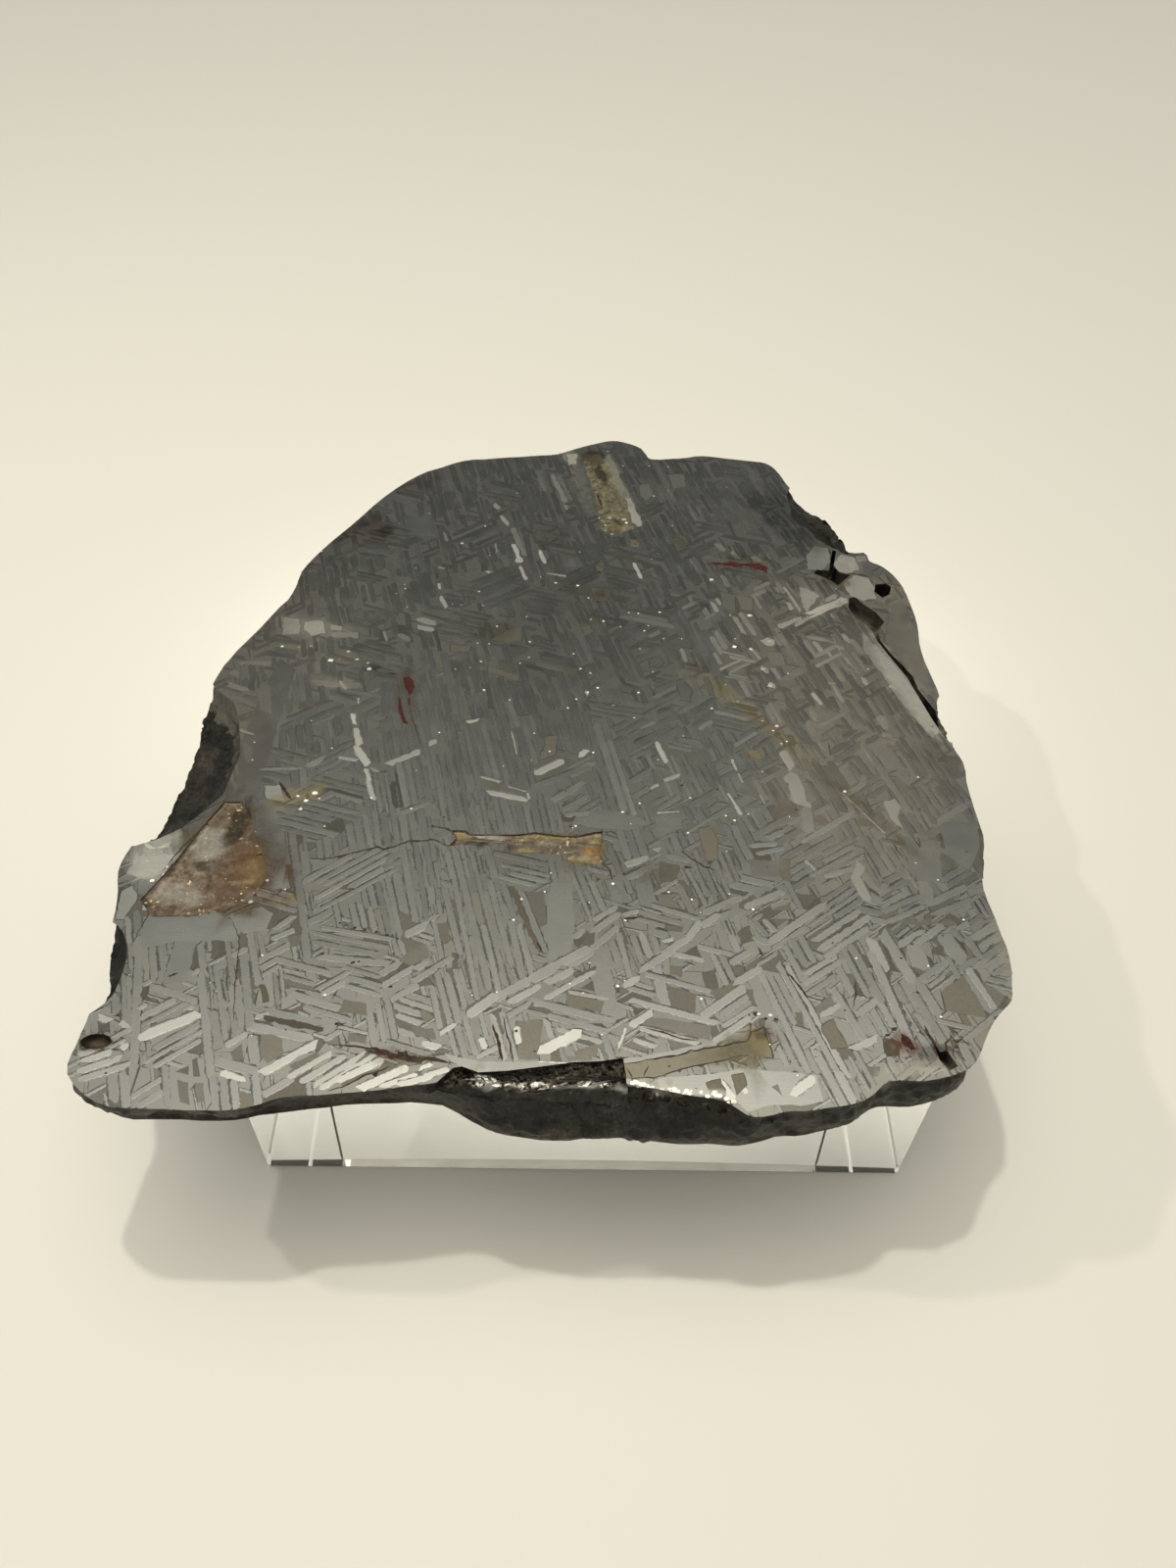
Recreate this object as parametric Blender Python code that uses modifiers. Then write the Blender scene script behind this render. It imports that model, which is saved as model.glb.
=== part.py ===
"""An etched slice of an iron meteorite lying flat on a clear display block.

Metres, +Z up. The origin is on the surface that the block stands on, under the
middle of the slice. The slice's front edge faces -Y and its narrow end +Y.
"""

import math

import bmesh
import bpy
from mathutils import Vector, noise

MM = 0.001

# Display block
BLOCK_WIDTH = 220 * MM
BLOCK_DEPTH = 185 * MM
BLOCK_HEIGHT = 67 * MM
BLOCK_CENTRE_X = 9.7 * MM
BLOCK_FRONT_Y = -149 * MM
BLOCK_EDGE = 0.8 * MM

# Slice, whose sawn back rests on the block
SEAT_GAP = 0.3 * MM
SLICE_THICKNESS = 18 * MM
SLICE_BOTTOM = BLOCK_HEIGHT + SEAT_GAP
SLICE_TOP = SLICE_BOTTOM + SLICE_THICKNESS
POINTS_PER_SPAN = 3

# Edge of the etched face in mm, anticlockwise from the front left corner.
# The third value is how far the foot of the natural rim stands outside that
# edge: below zero the rim is undercut.
FRONT_EDGE = (
    (-141.5, -159.5, -3), (-131, -168.5, -5), (-117, -170, -6), (-100, -170.5, -6),
    (-87, -169.5, -7), (-78, -166, -5), (-63, -165, -6), (-48, -163, -5),
    (-34, -161, -2), (-20, -162, 5), (-5, -161.5, 9), (8, -160, 10),
    (21, -160.5, 9), (33, -163, 8), (46, -165, 6), (52, -167.5, 4),
    (57, -170.5, 0), (66, -169, -1), (75, -168, -1), (87, -166, -2),
    (93, -162.5, -2), (98, -158.5, -1), (108, -158.5, -1), (120, -155.5, -2),
    (126, -150.5, -5), (130, -142.5, -7), (135, -136, -7), (140, -130.5, -6),
)
RIGHT_EDGE = (
    (142, -123, -5), (143, -114, -4), (142, -103, -3), (140.5, -88, -2),
    (142, -78, -2), (145, -65, -2), (144.5, -46, -3), (145, -31, -3),
    (143, -23, -2), (144, -14, -1), (143.5, -3, -2), (142, 12, -3),
    (140.5, 28, -4), (141.5, 44, -4), (141, 58, -5), (138.5, 72, -5),
    (133.5, 81, -5), (128.5, 84.5, -4), (127.5, 89, -3), (122.5, 96, -1),
    (118.5, 109, 0), (110, 124, 0), (100, 136, -1), (96, 147, -4),
)
BACK_EDGE = (
    (93, 153, -5), (88.5, 156.5, -6), (78, 158, -6), (62, 160.5, -5),
    (52, 158.5, -5), (38, 157, -4), (35.5, 161, -4), (33, 166, -4),
    (27, 169.5, -4), (20, 171.5, -5), (12, 169, -5), (4, 165, -5),
    (-6, 159.5, -4), (-17, 158, -4), (-34, 155.5, -3), (-48, 153, -3),
    (-58, 147.5, -3), (-68, 141, -4),
)
LEFT_EDGE = (
    (-82, 124, -4), (-93.5, 103, -3), (-104, 85, -3), (-110, 71, -2),
    (-111.5, 57, -2), (-117, 44, -3), (-123, 31, -3), (-129, 18, -2),
    (-132.5, 5, 0), (-133.5, -3, 3), (-134.5, -13, 3), (-135.5, -26, 3),
    (-136.5, -40, 2), (-138.5, -56, 1), (-141.5, -69, -1), (-144.5, -77, -3),
    (-145.5, -86, -4), (-143, -98, -4), (-142, -108, -3), (-142.5, -116, -2),
    (-140, -127, -1), (-140.5, -139, -2), (-141.5, -150, -3),
)
FACE_EDGE = FRONT_EDGE + RIGHT_EDGE + BACK_EDGE + LEFT_EDGE

# Rows of the rim from the face down to the sawn back: the share of the
# thickness gone down, and the share of the way out to the foot.
RIM_ROWS = (
    (0.0, 0.0), (0.05, 0.05), (0.25, 0.3), (0.5, 0.65), (0.75, 0.95), (0.94, 1.0), (1.0, 0.93),
)
RIM_BULGE = 1.2 * MM
RIM_LUMP = 3.2 * MM
RIM_LUMP_SIZE = 21 * MM
RIM_GRAIN = 1.1 * MM
RIM_GRAIN_SIZE = 8 * MM
EDGE_WAVER = 0.5 * MM
EDGE_WAVER_SIZE = 7 * MM

# Hollows scooped out of the rim: centre on the face's plane and half axes, mm.
SCOOPS = {
    "left_notch": ((-151, -33), (36, 43, 16)),
    "left_shelf": ((-145, -124), (11, 18, 8)),
    "back_right_scallop_1": ((111, 128), (13, 16, 6)),
    "back_right_scallop_2": ((117, 112), (12, 12, 6)),
    "back_right_scallop_3": ((123, 99), (10, 9, 6)),
    "right_crack_mouth": ((146, -9), (6, 14, 7)),
    "left_corner_pit": ((-136, -149), (4.5, 2.6, 3)),
}
SCOOP_LIFT = 0.5 * MM
SCOOP_WAVER = 0.07
SCOOP_WAVER_SIZE = 9 * MM

# Holes and recesses sunk into the face: outline in mm and depth in mm.
SINKS = {
    "void_near_back": (
        7,
        (
            (103.4, 75.6), (106.2, 74.1), (110.2, 70.9), (112.6, 67.7), (115.8, 71.7),
            (119, 74.9), (114.6, 76.9), (112.6, 81), (115, 91), (113.4, 91.5),
            (110.9, 81), (110.2, 77.7), (105, 78.2),
        ),
    ),
    "void_near_edge": (
        7,
        (
            (127.3, 64.5), (130.1, 60.5), (133.3, 62.9), (134.9, 67.7), (133.3, 70.1),
            (128.5, 69.3),
        ),
    ),
    "void_front_right": (
        5,
        (
            (113.1, -145.4), (114, -151.5), (116.2, -155.1), (119.2, -153.5), (116.7, -148.4),
            (114.6, -148.9),
        ),
    ),
    "central_inclusion": (
        1.0,
        (
            (-37.3, -66.3), (-35.6, -69.9), (-37.6, -73.2), (-31.5, -72.2), (-24.8, -72.7),
            (-18.6, -71.2), (-17.2, -75.2), (1.7, -76), (3.2, -78.8), (8.3, -79.3),
            (15.2, -81.1), (13.4, -75.5), (14.2, -70.9), (14.4, -65.8), (10.9, -66.3),
            (6.3, -67.8), (1.2, -68.1), (-9, -66.6), (-15.1, -67.8), (-31, -67.8),
            (-32.5, -66.3),
        ),
    ),
    "left_inclusion": (
        0.8,
        (
            (-117, -55), (-111.1, -54.9), (-107.6, -59), (-103.6, -68.7), (-99.6, -78.5),
            (-95.8, -87), (-97.9, -91.1), (-101, -98), (-107.6, -100.3), (-116.2, -103.2),
            (-130.6, -103.7), (-135.7, -97.4), (-132.9, -91.7), (-128.3, -82.5), (-122, -66),
        ),
    ),
}

# The open crack behind the right edge: middle line and width in mm.
CRACK_DEPTH = 8 * MM
CRACK = (
    (117.5, 60.5, 2.5), (118.5, 55, 7), (121.5, 49, 10), (124.6, 44.5, 8), (123.8, 40, 2.2),
    (124.6, 34, 1.3), (127.6, 26, 1.4), (130.8, 19.5, 2.2), (133.4, 13.5, 2.4),
    (134.6, 6.5, 1.6), (137.2, -1.5, 2.6), (139.6, -9, 3.6), (141.6, -17, 2.4), (142.6, -21, 0.8),
)

# The broken step along the front edge, whose floor dips towards the front.
STEP_OUTLINE = (
    (-34, -161.5), (-30, -157.3), (-27.5, -156.8), (-22.5, -158.6), (-14, -158), (-4, -156.5),
    (5.5, -155), (13, -154.6), (20, -153.5), (20.6, -159), (23, -185), (-40, -185),
)
STEP_DEPTH = 2.4 * MM
STEP_DIP = math.radians(14)
STEP_PIVOT_Y = -157 * MM
STEP_CUTTER_TOP = 12 * MM

CUTTER_CLEARANCE = 4 * MM
WELD_DISTANCE = 0.01 * MM


def clear_scene():
    for item in list(bpy.data.objects):
        bpy.data.objects.remove(item, do_unlink=True)


def new_collection(name):
    collection = bpy.data.collections.new(name)
    bpy.context.scene.collection.children.link(collection)
    return collection


def new_object(name, mesh, collection):
    item = bpy.data.objects.new(name, mesh)
    collection.objects.link(item)
    return item


def principled(name, colour, metallic, roughness, transmission=0.0, ior=1.5):
    material = bpy.data.materials.new(name)
    material.use_nodes = True
    shader = material.node_tree.nodes["Principled BSDF"]
    shader.inputs["Base Color"].default_value = (*colour, 1.0)
    shader.inputs["Metallic"].default_value = metallic
    shader.inputs["Roughness"].default_value = roughness
    shader.inputs["Transmission Weight"].default_value = transmission
    shader.inputs["IOR"].default_value = ior
    return material


def between(before, start, end, after, share):
    """A point on the smooth curve through four points, between the middle two."""
    return [
        0.5
        * (
            2 * b
            + (c - a) * share
            + (2 * a - 5 * b + 4 * c - d) * share**2
            + (3 * b - a - 3 * c + d) * share**3
        )
        for a, b, c, d in zip(before, start, end, after)
    ]


def smooth_loop(points, steps):
    """The closed curve through the points, with so many steps to each span."""
    count = len(points)
    loop = []
    for i in range(count):
        four = [points[(i + k) % count] for k in (-1, 0, 1, 2)]
        for step in range(steps):
            loop.append(between(*four, step / steps))
    return loop


def outward(loop, index, reach=2):
    """The level direction away from the slice at one point of its edge."""
    before = loop[index - reach]
    after = loop[(index + reach) % len(loop)]
    along = Vector((after[0] - before[0], after[1] - before[1], 0.0)).normalized()
    return Vector((along.y, -along.x, 0.0))


def roughness(place, size, seed):
    return noise.noise(place / size + Vector((seed, 2.0 * seed, 0.0)))


def rim_point(edge, foot, away, down, out):
    """One point of the rim, below the edge point that it belongs to."""
    place = Vector((edge.x, edge.y, SLICE_TOP - down * SLICE_THICKNESS))
    middle = math.sin(math.pi * down)
    shift = foot * out + RIM_BULGE * middle
    shift += RIM_LUMP * middle * roughness(place, RIM_LUMP_SIZE, 3.0)
    shift += RIM_GRAIN * middle * roughness(place, RIM_GRAIN_SIZE, 7.0)
    return place + away * shift


def rim_rings():
    """The closed rings of points that the slice's skin is stretched over."""
    loop = smooth_loop(FACE_EDGE, POINTS_PER_SPAN)
    columns = []
    for i, (x, y, foot) in enumerate(loop):
        away = outward(loop, i)
        edge = Vector((x * MM, y * MM, SLICE_TOP))
        edge += away * EDGE_WAVER * roughness(edge, EDGE_WAVER_SIZE, 11.0)
        columns.append([rim_point(edge, foot * MM, away, *row) for row in RIM_ROWS])
    return list(zip(*columns))


def loft(name, rings):
    """A closed mesh through rings of equal length, with a flat face at each end."""
    shape = bmesh.new()
    rows = [[shape.verts.new(point) for point in ring] for ring in rings]
    for upper, lower in zip(rows, rows[1:]):
        for i, corner in enumerate(upper):
            after = (i + 1) % len(upper)
            shape.faces.new((corner, lower[i], lower[after], upper[after]))
    shape.faces.new(rows[0])
    shape.faces.new(reversed(rows[-1]))
    bmesh.ops.recalc_face_normals(shape, faces=shape.faces)
    mesh = bpy.data.meshes.new(name)
    shape.to_mesh(mesh)
    shape.free()
    return mesh


def prism(name, outline, low, high, collection):
    """A cutter with a flat outline in mm, between two heights."""
    curve = bpy.data.curves.new(name, "CURVE")
    curve.dimensions = "2D"
    curve.fill_mode = "BOTH"
    curve.extrude = (high - low) / 2
    spline = curve.splines.new("POLY")
    spline.points.add(len(outline) - 1)
    for point, (x, y) in zip(spline.points, outline):
        point.co = (x * MM, y * MM, 0.0, 1.0)
    spline.use_cyclic_u = True
    flat = new_object(name + "_curve", curve, collection)
    flat.location.z = (high + low) / 2
    bpy.context.view_layer.update()
    depsgraph = bpy.context.evaluated_depsgraph_get()
    mesh = bpy.data.meshes.new_from_object(flat.evaluated_get(depsgraph))
    cutter = new_object(name, mesh, collection)
    cutter.matrix_world = flat.matrix_world
    bpy.data.objects.remove(flat, do_unlink=True)
    weld(mesh)
    return cutter


def weld(mesh):
    shape = bmesh.new()
    shape.from_mesh(mesh)
    bmesh.ops.remove_doubles(shape, verts=shape.verts, dist=WELD_DISTANCE)
    bmesh.ops.recalc_face_normals(shape, faces=shape.faces)
    shape.to_mesh(mesh)
    shape.free()


def scoop(name, centre, half_axes, collection):
    """A rough ellipsoid that hollows the rim out from the face's plane down."""
    shape = bmesh.new()
    bmesh.ops.create_uvsphere(shape, u_segments=28, v_segments=14, radius=1.0)
    middle = Vector((centre[0] * MM, centre[1] * MM, SLICE_TOP + SCOOP_LIFT))
    for corner in shape.verts:
        spot = Vector([c * h * MM for c, h in zip(corner.co, half_axes)])
        swell = 1 + SCOOP_WAVER * roughness(middle + spot, SCOOP_WAVER_SIZE, 5.0)
        corner.co = middle + spot * swell
    mesh = bpy.data.meshes.new(name)
    shape.to_mesh(mesh)
    shape.free()
    return new_object(name, mesh, collection)


def ribbon(line):
    """The outline of a band of changing width along a middle line."""
    left, right = [], []
    for i, (x, y, width) in enumerate(line):
        before = line[max(i - 1, 0)]
        after = line[min(i + 1, len(line) - 1)]
        along = Vector((after[0] - before[0], after[1] - before[1])).normalized()
        left.append((x - along.y * width / 2, y + along.x * width / 2))
        right.append((x + along.y * width / 2, y - along.x * width / 2))
    return left + right[::-1]


def front_step(collection):
    """The cutter for the broken step, turned about a line along the front."""
    cutter = prism("front_step", STEP_OUTLINE, -STEP_DEPTH, STEP_CUTTER_TOP, collection)
    for corner in cutter.data.vertices:
        corner.co.y -= STEP_PIVOT_Y
    cutter.location.y = STEP_PIVOT_Y
    cutter.location.z += SLICE_TOP
    cutter.rotation_euler.x = STEP_DIP
    return cutter


def make_cutters():
    cutters = new_collection("cutters")
    above = SLICE_TOP + CUTTER_CLEARANCE
    made = [scoop(name, *spot, cutters) for name, spot in SCOOPS.items()]
    for name, (depth, outline) in SINKS.items():
        made.append(prism(name, outline, SLICE_TOP - depth * MM, above, cutters))
    made.append(prism("crack", ribbon(CRACK), SLICE_TOP - CRACK_DEPTH, above, cutters))
    made.append(front_step(cutters))
    for cutter in made:
        cutter.hide_render = True
        cutter.display_type = "WIRE"
    return made


def make_slice(collection, cutters):
    item = new_object("meteorite_slice", loft("meteorite_slice", rim_rings()), collection)
    for cutter in cutters:
        cut = item.modifiers.new(cutter.name, "BOOLEAN")
        cut.operation = "DIFFERENCE"
        cut.solver = "EXACT"
        cut.object = cutter
    iron = principled("etched_iron", (0.36, 0.36, 0.34), metallic=1.0, roughness=0.38)
    item.data.materials.append(iron)
    return item


def make_block(collection):
    shape = bmesh.new()
    bmesh.ops.create_cube(shape, size=1.0)
    bmesh.ops.scale(shape, vec=(BLOCK_WIDTH, BLOCK_DEPTH, BLOCK_HEIGHT), verts=shape.verts)
    mesh = bpy.data.meshes.new("acrylic_block")
    shape.to_mesh(mesh)
    shape.free()
    item = new_object("acrylic_block", mesh, collection)
    item.location = (BLOCK_CENTRE_X, BLOCK_FRONT_Y + BLOCK_DEPTH / 2, BLOCK_HEIGHT / 2)
    edges = item.modifiers.new("polished_edges", "BEVEL")
    edges.width = BLOCK_EDGE
    edges.segments = 2
    clear = principled("clear_acrylic", (1.0, 1.0, 1.0), 0.0, 0.02, transmission=1.0, ior=1.49)
    mesh.materials.append(clear)
    return item


def main():
    clear_scene()
    specimen = new_collection("iron_meteorite_slice")
    make_block(specimen)
    make_slice(specimen, make_cutters())


main()
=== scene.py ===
"""The looks of an etched iron meteorite slice on its clear block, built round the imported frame.

Lengths of the face's pattern are in millimetres, in the frame's own axes: x to the right, y away
from the camera. Everything else is in metres.
"""

import math
import random
from collections import namedtuple

import bmesh
import bpy
import numpy as np
from mathutils import Matrix, Vector, noise
from mathutils.geometry import delaunay_2d_cdt


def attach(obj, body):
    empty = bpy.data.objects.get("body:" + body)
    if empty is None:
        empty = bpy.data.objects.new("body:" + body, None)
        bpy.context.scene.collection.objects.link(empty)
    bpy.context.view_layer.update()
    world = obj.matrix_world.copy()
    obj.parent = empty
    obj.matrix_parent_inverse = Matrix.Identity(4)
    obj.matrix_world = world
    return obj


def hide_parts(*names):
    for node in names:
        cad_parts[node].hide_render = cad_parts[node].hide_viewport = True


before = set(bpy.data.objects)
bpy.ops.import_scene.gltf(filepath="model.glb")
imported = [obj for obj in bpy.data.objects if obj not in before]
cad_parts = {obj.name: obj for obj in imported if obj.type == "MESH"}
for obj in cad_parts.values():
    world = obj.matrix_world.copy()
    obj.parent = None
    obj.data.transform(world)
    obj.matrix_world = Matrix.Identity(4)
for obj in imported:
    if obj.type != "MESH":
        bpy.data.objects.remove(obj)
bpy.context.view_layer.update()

MM = 0.001

# Camera: where the photograph was taken from, and its lens
CAMERA_PLACE = (0.0038, -0.3315, 0.41)
CAMERA_DIP = math.radians(48.5)
CAMERA_HEADING = math.radians(1.07)
CAMERA_ROLL = math.atan(0.0296)
PHOTO_HEIGHT_PX = 1600
FOCAL_LENGTH_PX = 1250
SENSOR = 36.0

# The floor: how far it reaches to each side, and how little it lies below the block
FLOOR_REACH = 3.0
FLOOR_GAP = 0.0002

# The three directions of the etched bands, in degrees from the x axis
STEEP, RISING, FALLING = 106.0, 36.0, -17.0

# Lamps: the two small ones by the way from the slice to each and its power in watts, and a wide
# faint one under the slice
LAMP_TARGET = (0, 0, 0.08)
LAMP_DISTANCE = 1.2
LAMP_SIZE = 0.035
UNDER_LAMP_PLACE = (0.01, 0.095, 0.062)
UNDER_LAMP_SIZE = (0.24, 0.1)
UNDER_LAMP_POWER = 0.14
LAMP_COLOUR = (1.0, 0.965, 0.86)
LAMPS = (
    ("lamp_overhead", (-7, 5, 76), 4.2),
    ("lamp_left", (-60, 5, 76), 2.2),
)

# The slice's materials, by their places on the mesh
METAL, PLESSITE, GOLD, RUST, CRUST, SAWN, CRACK_FILL, RED, GLINT, FRACTURE = range(10)

# Bands placed one by one: start, end, width, tone. Earlier ones lie over later ones.
FRONT_LEFT_BANDS = (
    (-124, -148, -107, -139.5, 4, 0.9), (-86, -159, -70.5, -148.5, 3.2, 0.86),
    (-97.5, -158.5, -89.5, -161.5, 2.6, 0.96), (-140, -153.5, -131, -149.5, 2.4, 0.82),
    (-139.5, -156, -130.5, -152, 2.6, 0.84), (-139, -158.8, -127, -153.5, 2.8, 0.76),
    (-138, -161.5, -124, -156, 2.6, 0.76), (-91, -140, -86.5, -138.5, 2.2, 0.74),
    (-98, -150, -92, -145.5, 2.6, 0.72), (-91, -112, -84, -108, 2.5, 0.7),
    (-91, -108.5, -85, -102.5, 2.4, 0.7), (-127.5, -129.5, -125, -127.5, 2, 0.74),
    (-126.5, -138, -124, -136, 2, 0.74), (-130.5, -142, -127.5, -144.5, 2.4, 0.84),
    (-138, -140, -133, -142, 2.5, 0.84), (-128.5, -151, -126, -150, 3, 0.92),
    (-113, -138.5, -110, -136.5, 2, 0.72), (-113, -125, -111, -123, 2, 0.72),
    (-93, -137, -69.5, -142, 3.2, 0.52), (-92, -143, -72, -147.5, 3.5, 0.6),
    (-86.5, -86, -78, -120, 3, 0.54), (-110, -125, -99.5, -160, 2.9, 0.6),
    (-131, -118, -122.5, -160, 3.2, 0.56), (-98.5, -118, -91, -146, 3, 0.52),
    (-76, -118, -52, -120.5, 3, 0.6),
)
# Bands along the front edge: their tones near 1 are partly a painted highlight where the edge
# catches the light
FRONT_EDGE_BANDS = (
    (-40, -156.6, -36, -154.8, 1.8, 0.97), (-38, -159.2, -31, -156.6, 2.3, 0.97),
    (-46, -162, -35, -158.5, 2.4, 0.97), (-51, -163, -40, -158.5, 2.6, 0.97),
    (-57, -163.5, -43, -156, 3, 0.97), (-64, -161.5, -50.5, -153.5, 2.8, 0.96),
    (-68, -163.5, -53, -152, 2.4, 0.86), (-70, -162.5, -56, -151.5, 2.6, 0.78),
    (-74, -161.5, -62, -152.5, 2.6, 0.74), (-78, -160, -66, -151.5, 2.4, 0.72),
)
FRONT_MIDDLE_BANDS = (
    (-5.5, -151.5, 8, -143.3, 4, 0.97), (-4, -132.5, 12, -122, 2.4, 0.74),
    (-27, -139, -18, -131, 3.6, 0.74), (-20.5, -133.5, -8, -125, 3.6, 0.72),
    (-9, -126, 1, -119, 4.2, 0.7), (0, -120, 10.5, -113, 3.8, 0.7),
    (-15, -134, -5, -127.5, 2.8, 0.72), (-4, -127, 5, -121.5, 3.2, 0.7),
    (3, -121, 12, -114, 2.8, 0.68), (10, -114, 19, -105, 2.8, 0.68),
    (10, -108, 20, -99.5, 2.8, 0.66), (11, -103, 19, -97, 2.4, 0.62),
    (20.5, -128, 25.5, -123.5, 3, 0.76), (25, -122.5, 36, -114, 3, 0.76),
    (33, -116, 42, -108.5, 3.2, 0.76), (41, -110, 46, -102.5, 3, 0.72),
    (44, -106, 52, -99.5, 3, 0.68), (22, -141.5, 29.5, -136.2, 2.8, 0.78),
    (18.5, -149, 21, -142, 1.2, 0.94), (4, -110, 8.5, -106.5, 2.8, 0.72),
    (33, -111, 37, -109.5, 1.8, 0.85), (20, -101, 26, -98.7, 2.2, 0.78),
    (35, -115, 46, -118, 2.4, 0.68), (27, -123, 47.5, -129, 2.4, 0.62),
    (22, -132, 49, -140, 2.6, 0.6), (25, -142, 43, -147, 2.4, 0.68),
    (23, -146, 30, -148.5, 2, 0.72), (3, -129.5, 16, -132, 1.8, 0.7),
    (-8, -133, 18, -140, 3, 0.52), (-3, -138, 16, -143.5, 2.6, 0.61),
    (0, -142.5, 14, -147, 2, 0.68), (30, -96.5, 46, -102, 2.2, 0.6),
    (-22.5, -146, -21, -150, 2.2, 0.89), (-35, -145, -30, -141, 2, 0.79),
    (-40, -148, -34, -149.5, 2.8, 0.84), (-42, -104, -38, -101.5, 2.6, 0.68),
    (-49, -110, -41, -104.5, 3.4, 0.64), (-20, -137.5, -14.8, -154, 2.6, 0.64),
    (-17, -137, -11.5, -154, 2.4, 0.64), (-45, -127, -33, -117.5, 2.6, 0.6),
    (-13, -91, -4, -116, 2.5, 0.55), (28, -86, 30, -98, 6, 0.5), (30, -117, 33, -135, 4, 0.55),
    (-12, -142, -11, -148, 2.2, 0.95), (-5, -153.8, 14, -154.6, 0.7, 1.0),
)
FRONT_RIGHT_BANDS = (
    (129, -119, 134.5, -134, 2.8, 0.76), (82, -113.5, 101, -99.5, 3, 0.72),
    (67, -111, 88, -94.5, 3.2, 0.64), (81, -110, 98, -97.5, 2.6, 0.7),
    (84, -116, 100, -104, 2.6, 0.66), (68, -113, 80, -104, 2.2, 0.64),
    (77, -122.5, 88, -115, 2.4, 0.72), (76, -126, 90, -116.5, 2.4, 0.64),
    (54, -119, 62, -113.5, 2.8, 0.7), (54, -126.5, 64, -120, 3, 0.68),
    (46, -104, 60, -98, 3.6, 0.64), (46, -100, 60, -92.5, 3, 0.66),
    (60, -97, 74, -90, 3, 0.68), (80, -137.5, 87, -133, 2.6, 0.72),
    (88, -148.5, 97, -144, 2.8, 0.78), (68, -163.5, 76, -157.5, 3.4, 0.88),
    (108, -111, 118, -104.5, 2.8, 0.68), (105, -98, 119, -91, 2.4, 0.64),
    (106, -102, 120, -95, 2.4, 0.62), (120, -95, 135, -87, 3, 0.62),
    (121, -99, 136, -92, 2.6, 0.6), (128, -105, 133, -101.5, 2.6, 0.64),
    (126, -119.5, 133, -115.5, 3, 0.64), (111, -125, 122, -117, 2.6, 0.62),
    (69, -118, 83, -156, 2.3, 0.66), (72, -119, 86.5, -158, 2.4, 0.68),
    (85, -127, 94, -149, 3, 0.62), (99, -113, 108.5, -156, 3.2, 0.64),
    (104, -105, 111.5, -125, 4, 0.7), (100, -108, 103, -121, 4, 0.66),
    (113, -110, 114.5, -121, 6, 0.74), (123, -106, 129, -119, 6, 0.58),
    (63, -102, 67, -108.5, 2.6, 0.62), (66, -101.5, 70, -107, 2.4, 0.62),
    (131, -107, 134, -116, 3, 0.6), (101, -77.5, 98.5, -83.5, 3.6, 0.82),
    (98.4, -82, 101.5, -94, 3.6, 0.82), (99, -90, 106, -95, 4.6, 0.66),
    # These two at the front edge are near white, partly as a painted highlight
    (52, -159, 56, -163, 2.4, 0.97), (47.5, -158.5, 52, -165, 3, 0.96),
)
MIDDLE_LEFT_BANDS = (
    (-78.3, -11, -76.6, -17, 1.8, 0.96), (-76.3, -18.5, -73.6, -28, 2.6, 0.96),
    (-74.6, -27.5, -69.8, -37.5, 3.4, 0.96), (-70.4, -38.5, -67.8, -45, 1.7, 0.92),
    (-69, -42.5, -65.2, -53.5, 1.8, 0.92), (-80.5, -33.2, -73, -34.6, 1.8, 0.82),
    (-68.5, -38, -65, -40, 1.5, 0.78), (-63, -36.5, -51.5, -29.2, 2.9, 0.9),
    (-92, -38.2, -85, -33, 2.6, 0.76), (-77.3, -3, -76.7, -6.2, 0.9, 0.95),
    (-108, -39.4, -92, -38.6, 1.5, 0.72), (-49, -26.5, -46, -24, 2.4, 0.86),
    (-56, -59, -46, -53.5, 2.2, 0.66), (-140, -73, -133, -75, 2.2, 0.82),
    (-125.5, 15.2, -112.6, 15.6, 2.6, 0.78), (-126.9, 11.4, -124.7, 6.5, 5, 0.72),
    (-127.6, 4.0, -118.3, -0.3, 2.6, 0.76), (-118.7, -20.1, -112.5, -22.8, 1.2, 0.8),
    (-114.6, -26.8, -111.9, -36.7, 3.4, 0.66), (-114.6, 4.9, -109.9, -11.8, 5, 0.62),
)
MIDDLE_BANDS = (
    (-10, -40, 0.5, -33, 3.1, 0.94), (5.5, -30.6, 9.6, -27.6, 2.9, 0.94),
    (34, -23, 37.6, -33.5, 2, 0.94), (31, -46, 34.2, -43.8, 1.6, 0.86),
    (36, -42, 42, -39, 1.8, 0.86), (-36, -14.6, -31, -13, 2, 0.92),
    (-29, -41.5, -21.5, -44, 1.4, 0.86), (-27, -48.5, -11.5, -52, 2.4, 0.9),
    (-19, -46, -12, -48.4, 1, 0.86), (21.5, -80, 29.8, -76.8, 3.2, 0.82),
    (31, -73.6, 34.2, -73, 2.4, 0.82), (33, -57, 41, -56.3, 0.8, 0.92),
    (-10, -46, 10.5, -35.5, 3, 0.62), (3, -41, 11, -33.6, 3, 0.64),
    (-4, -52.5, 8, -43, 3, 0.62), (0, -57, 9, -50, 2.6, 0.62),
    (24, -43, 33, -35.6, 3, 0.62), (22, -86, 33, -79, 3, 0.66),
    (31, -92, 39, -86, 1.8, 0.64), (1, -59, 10, -57.5, 2.4, 0.7),
    (-19, -19, -16.6, -30.6, 0.6, 0.95), (-12, -48.8, -11.3, -52, 1, 0.9),
)
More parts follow.
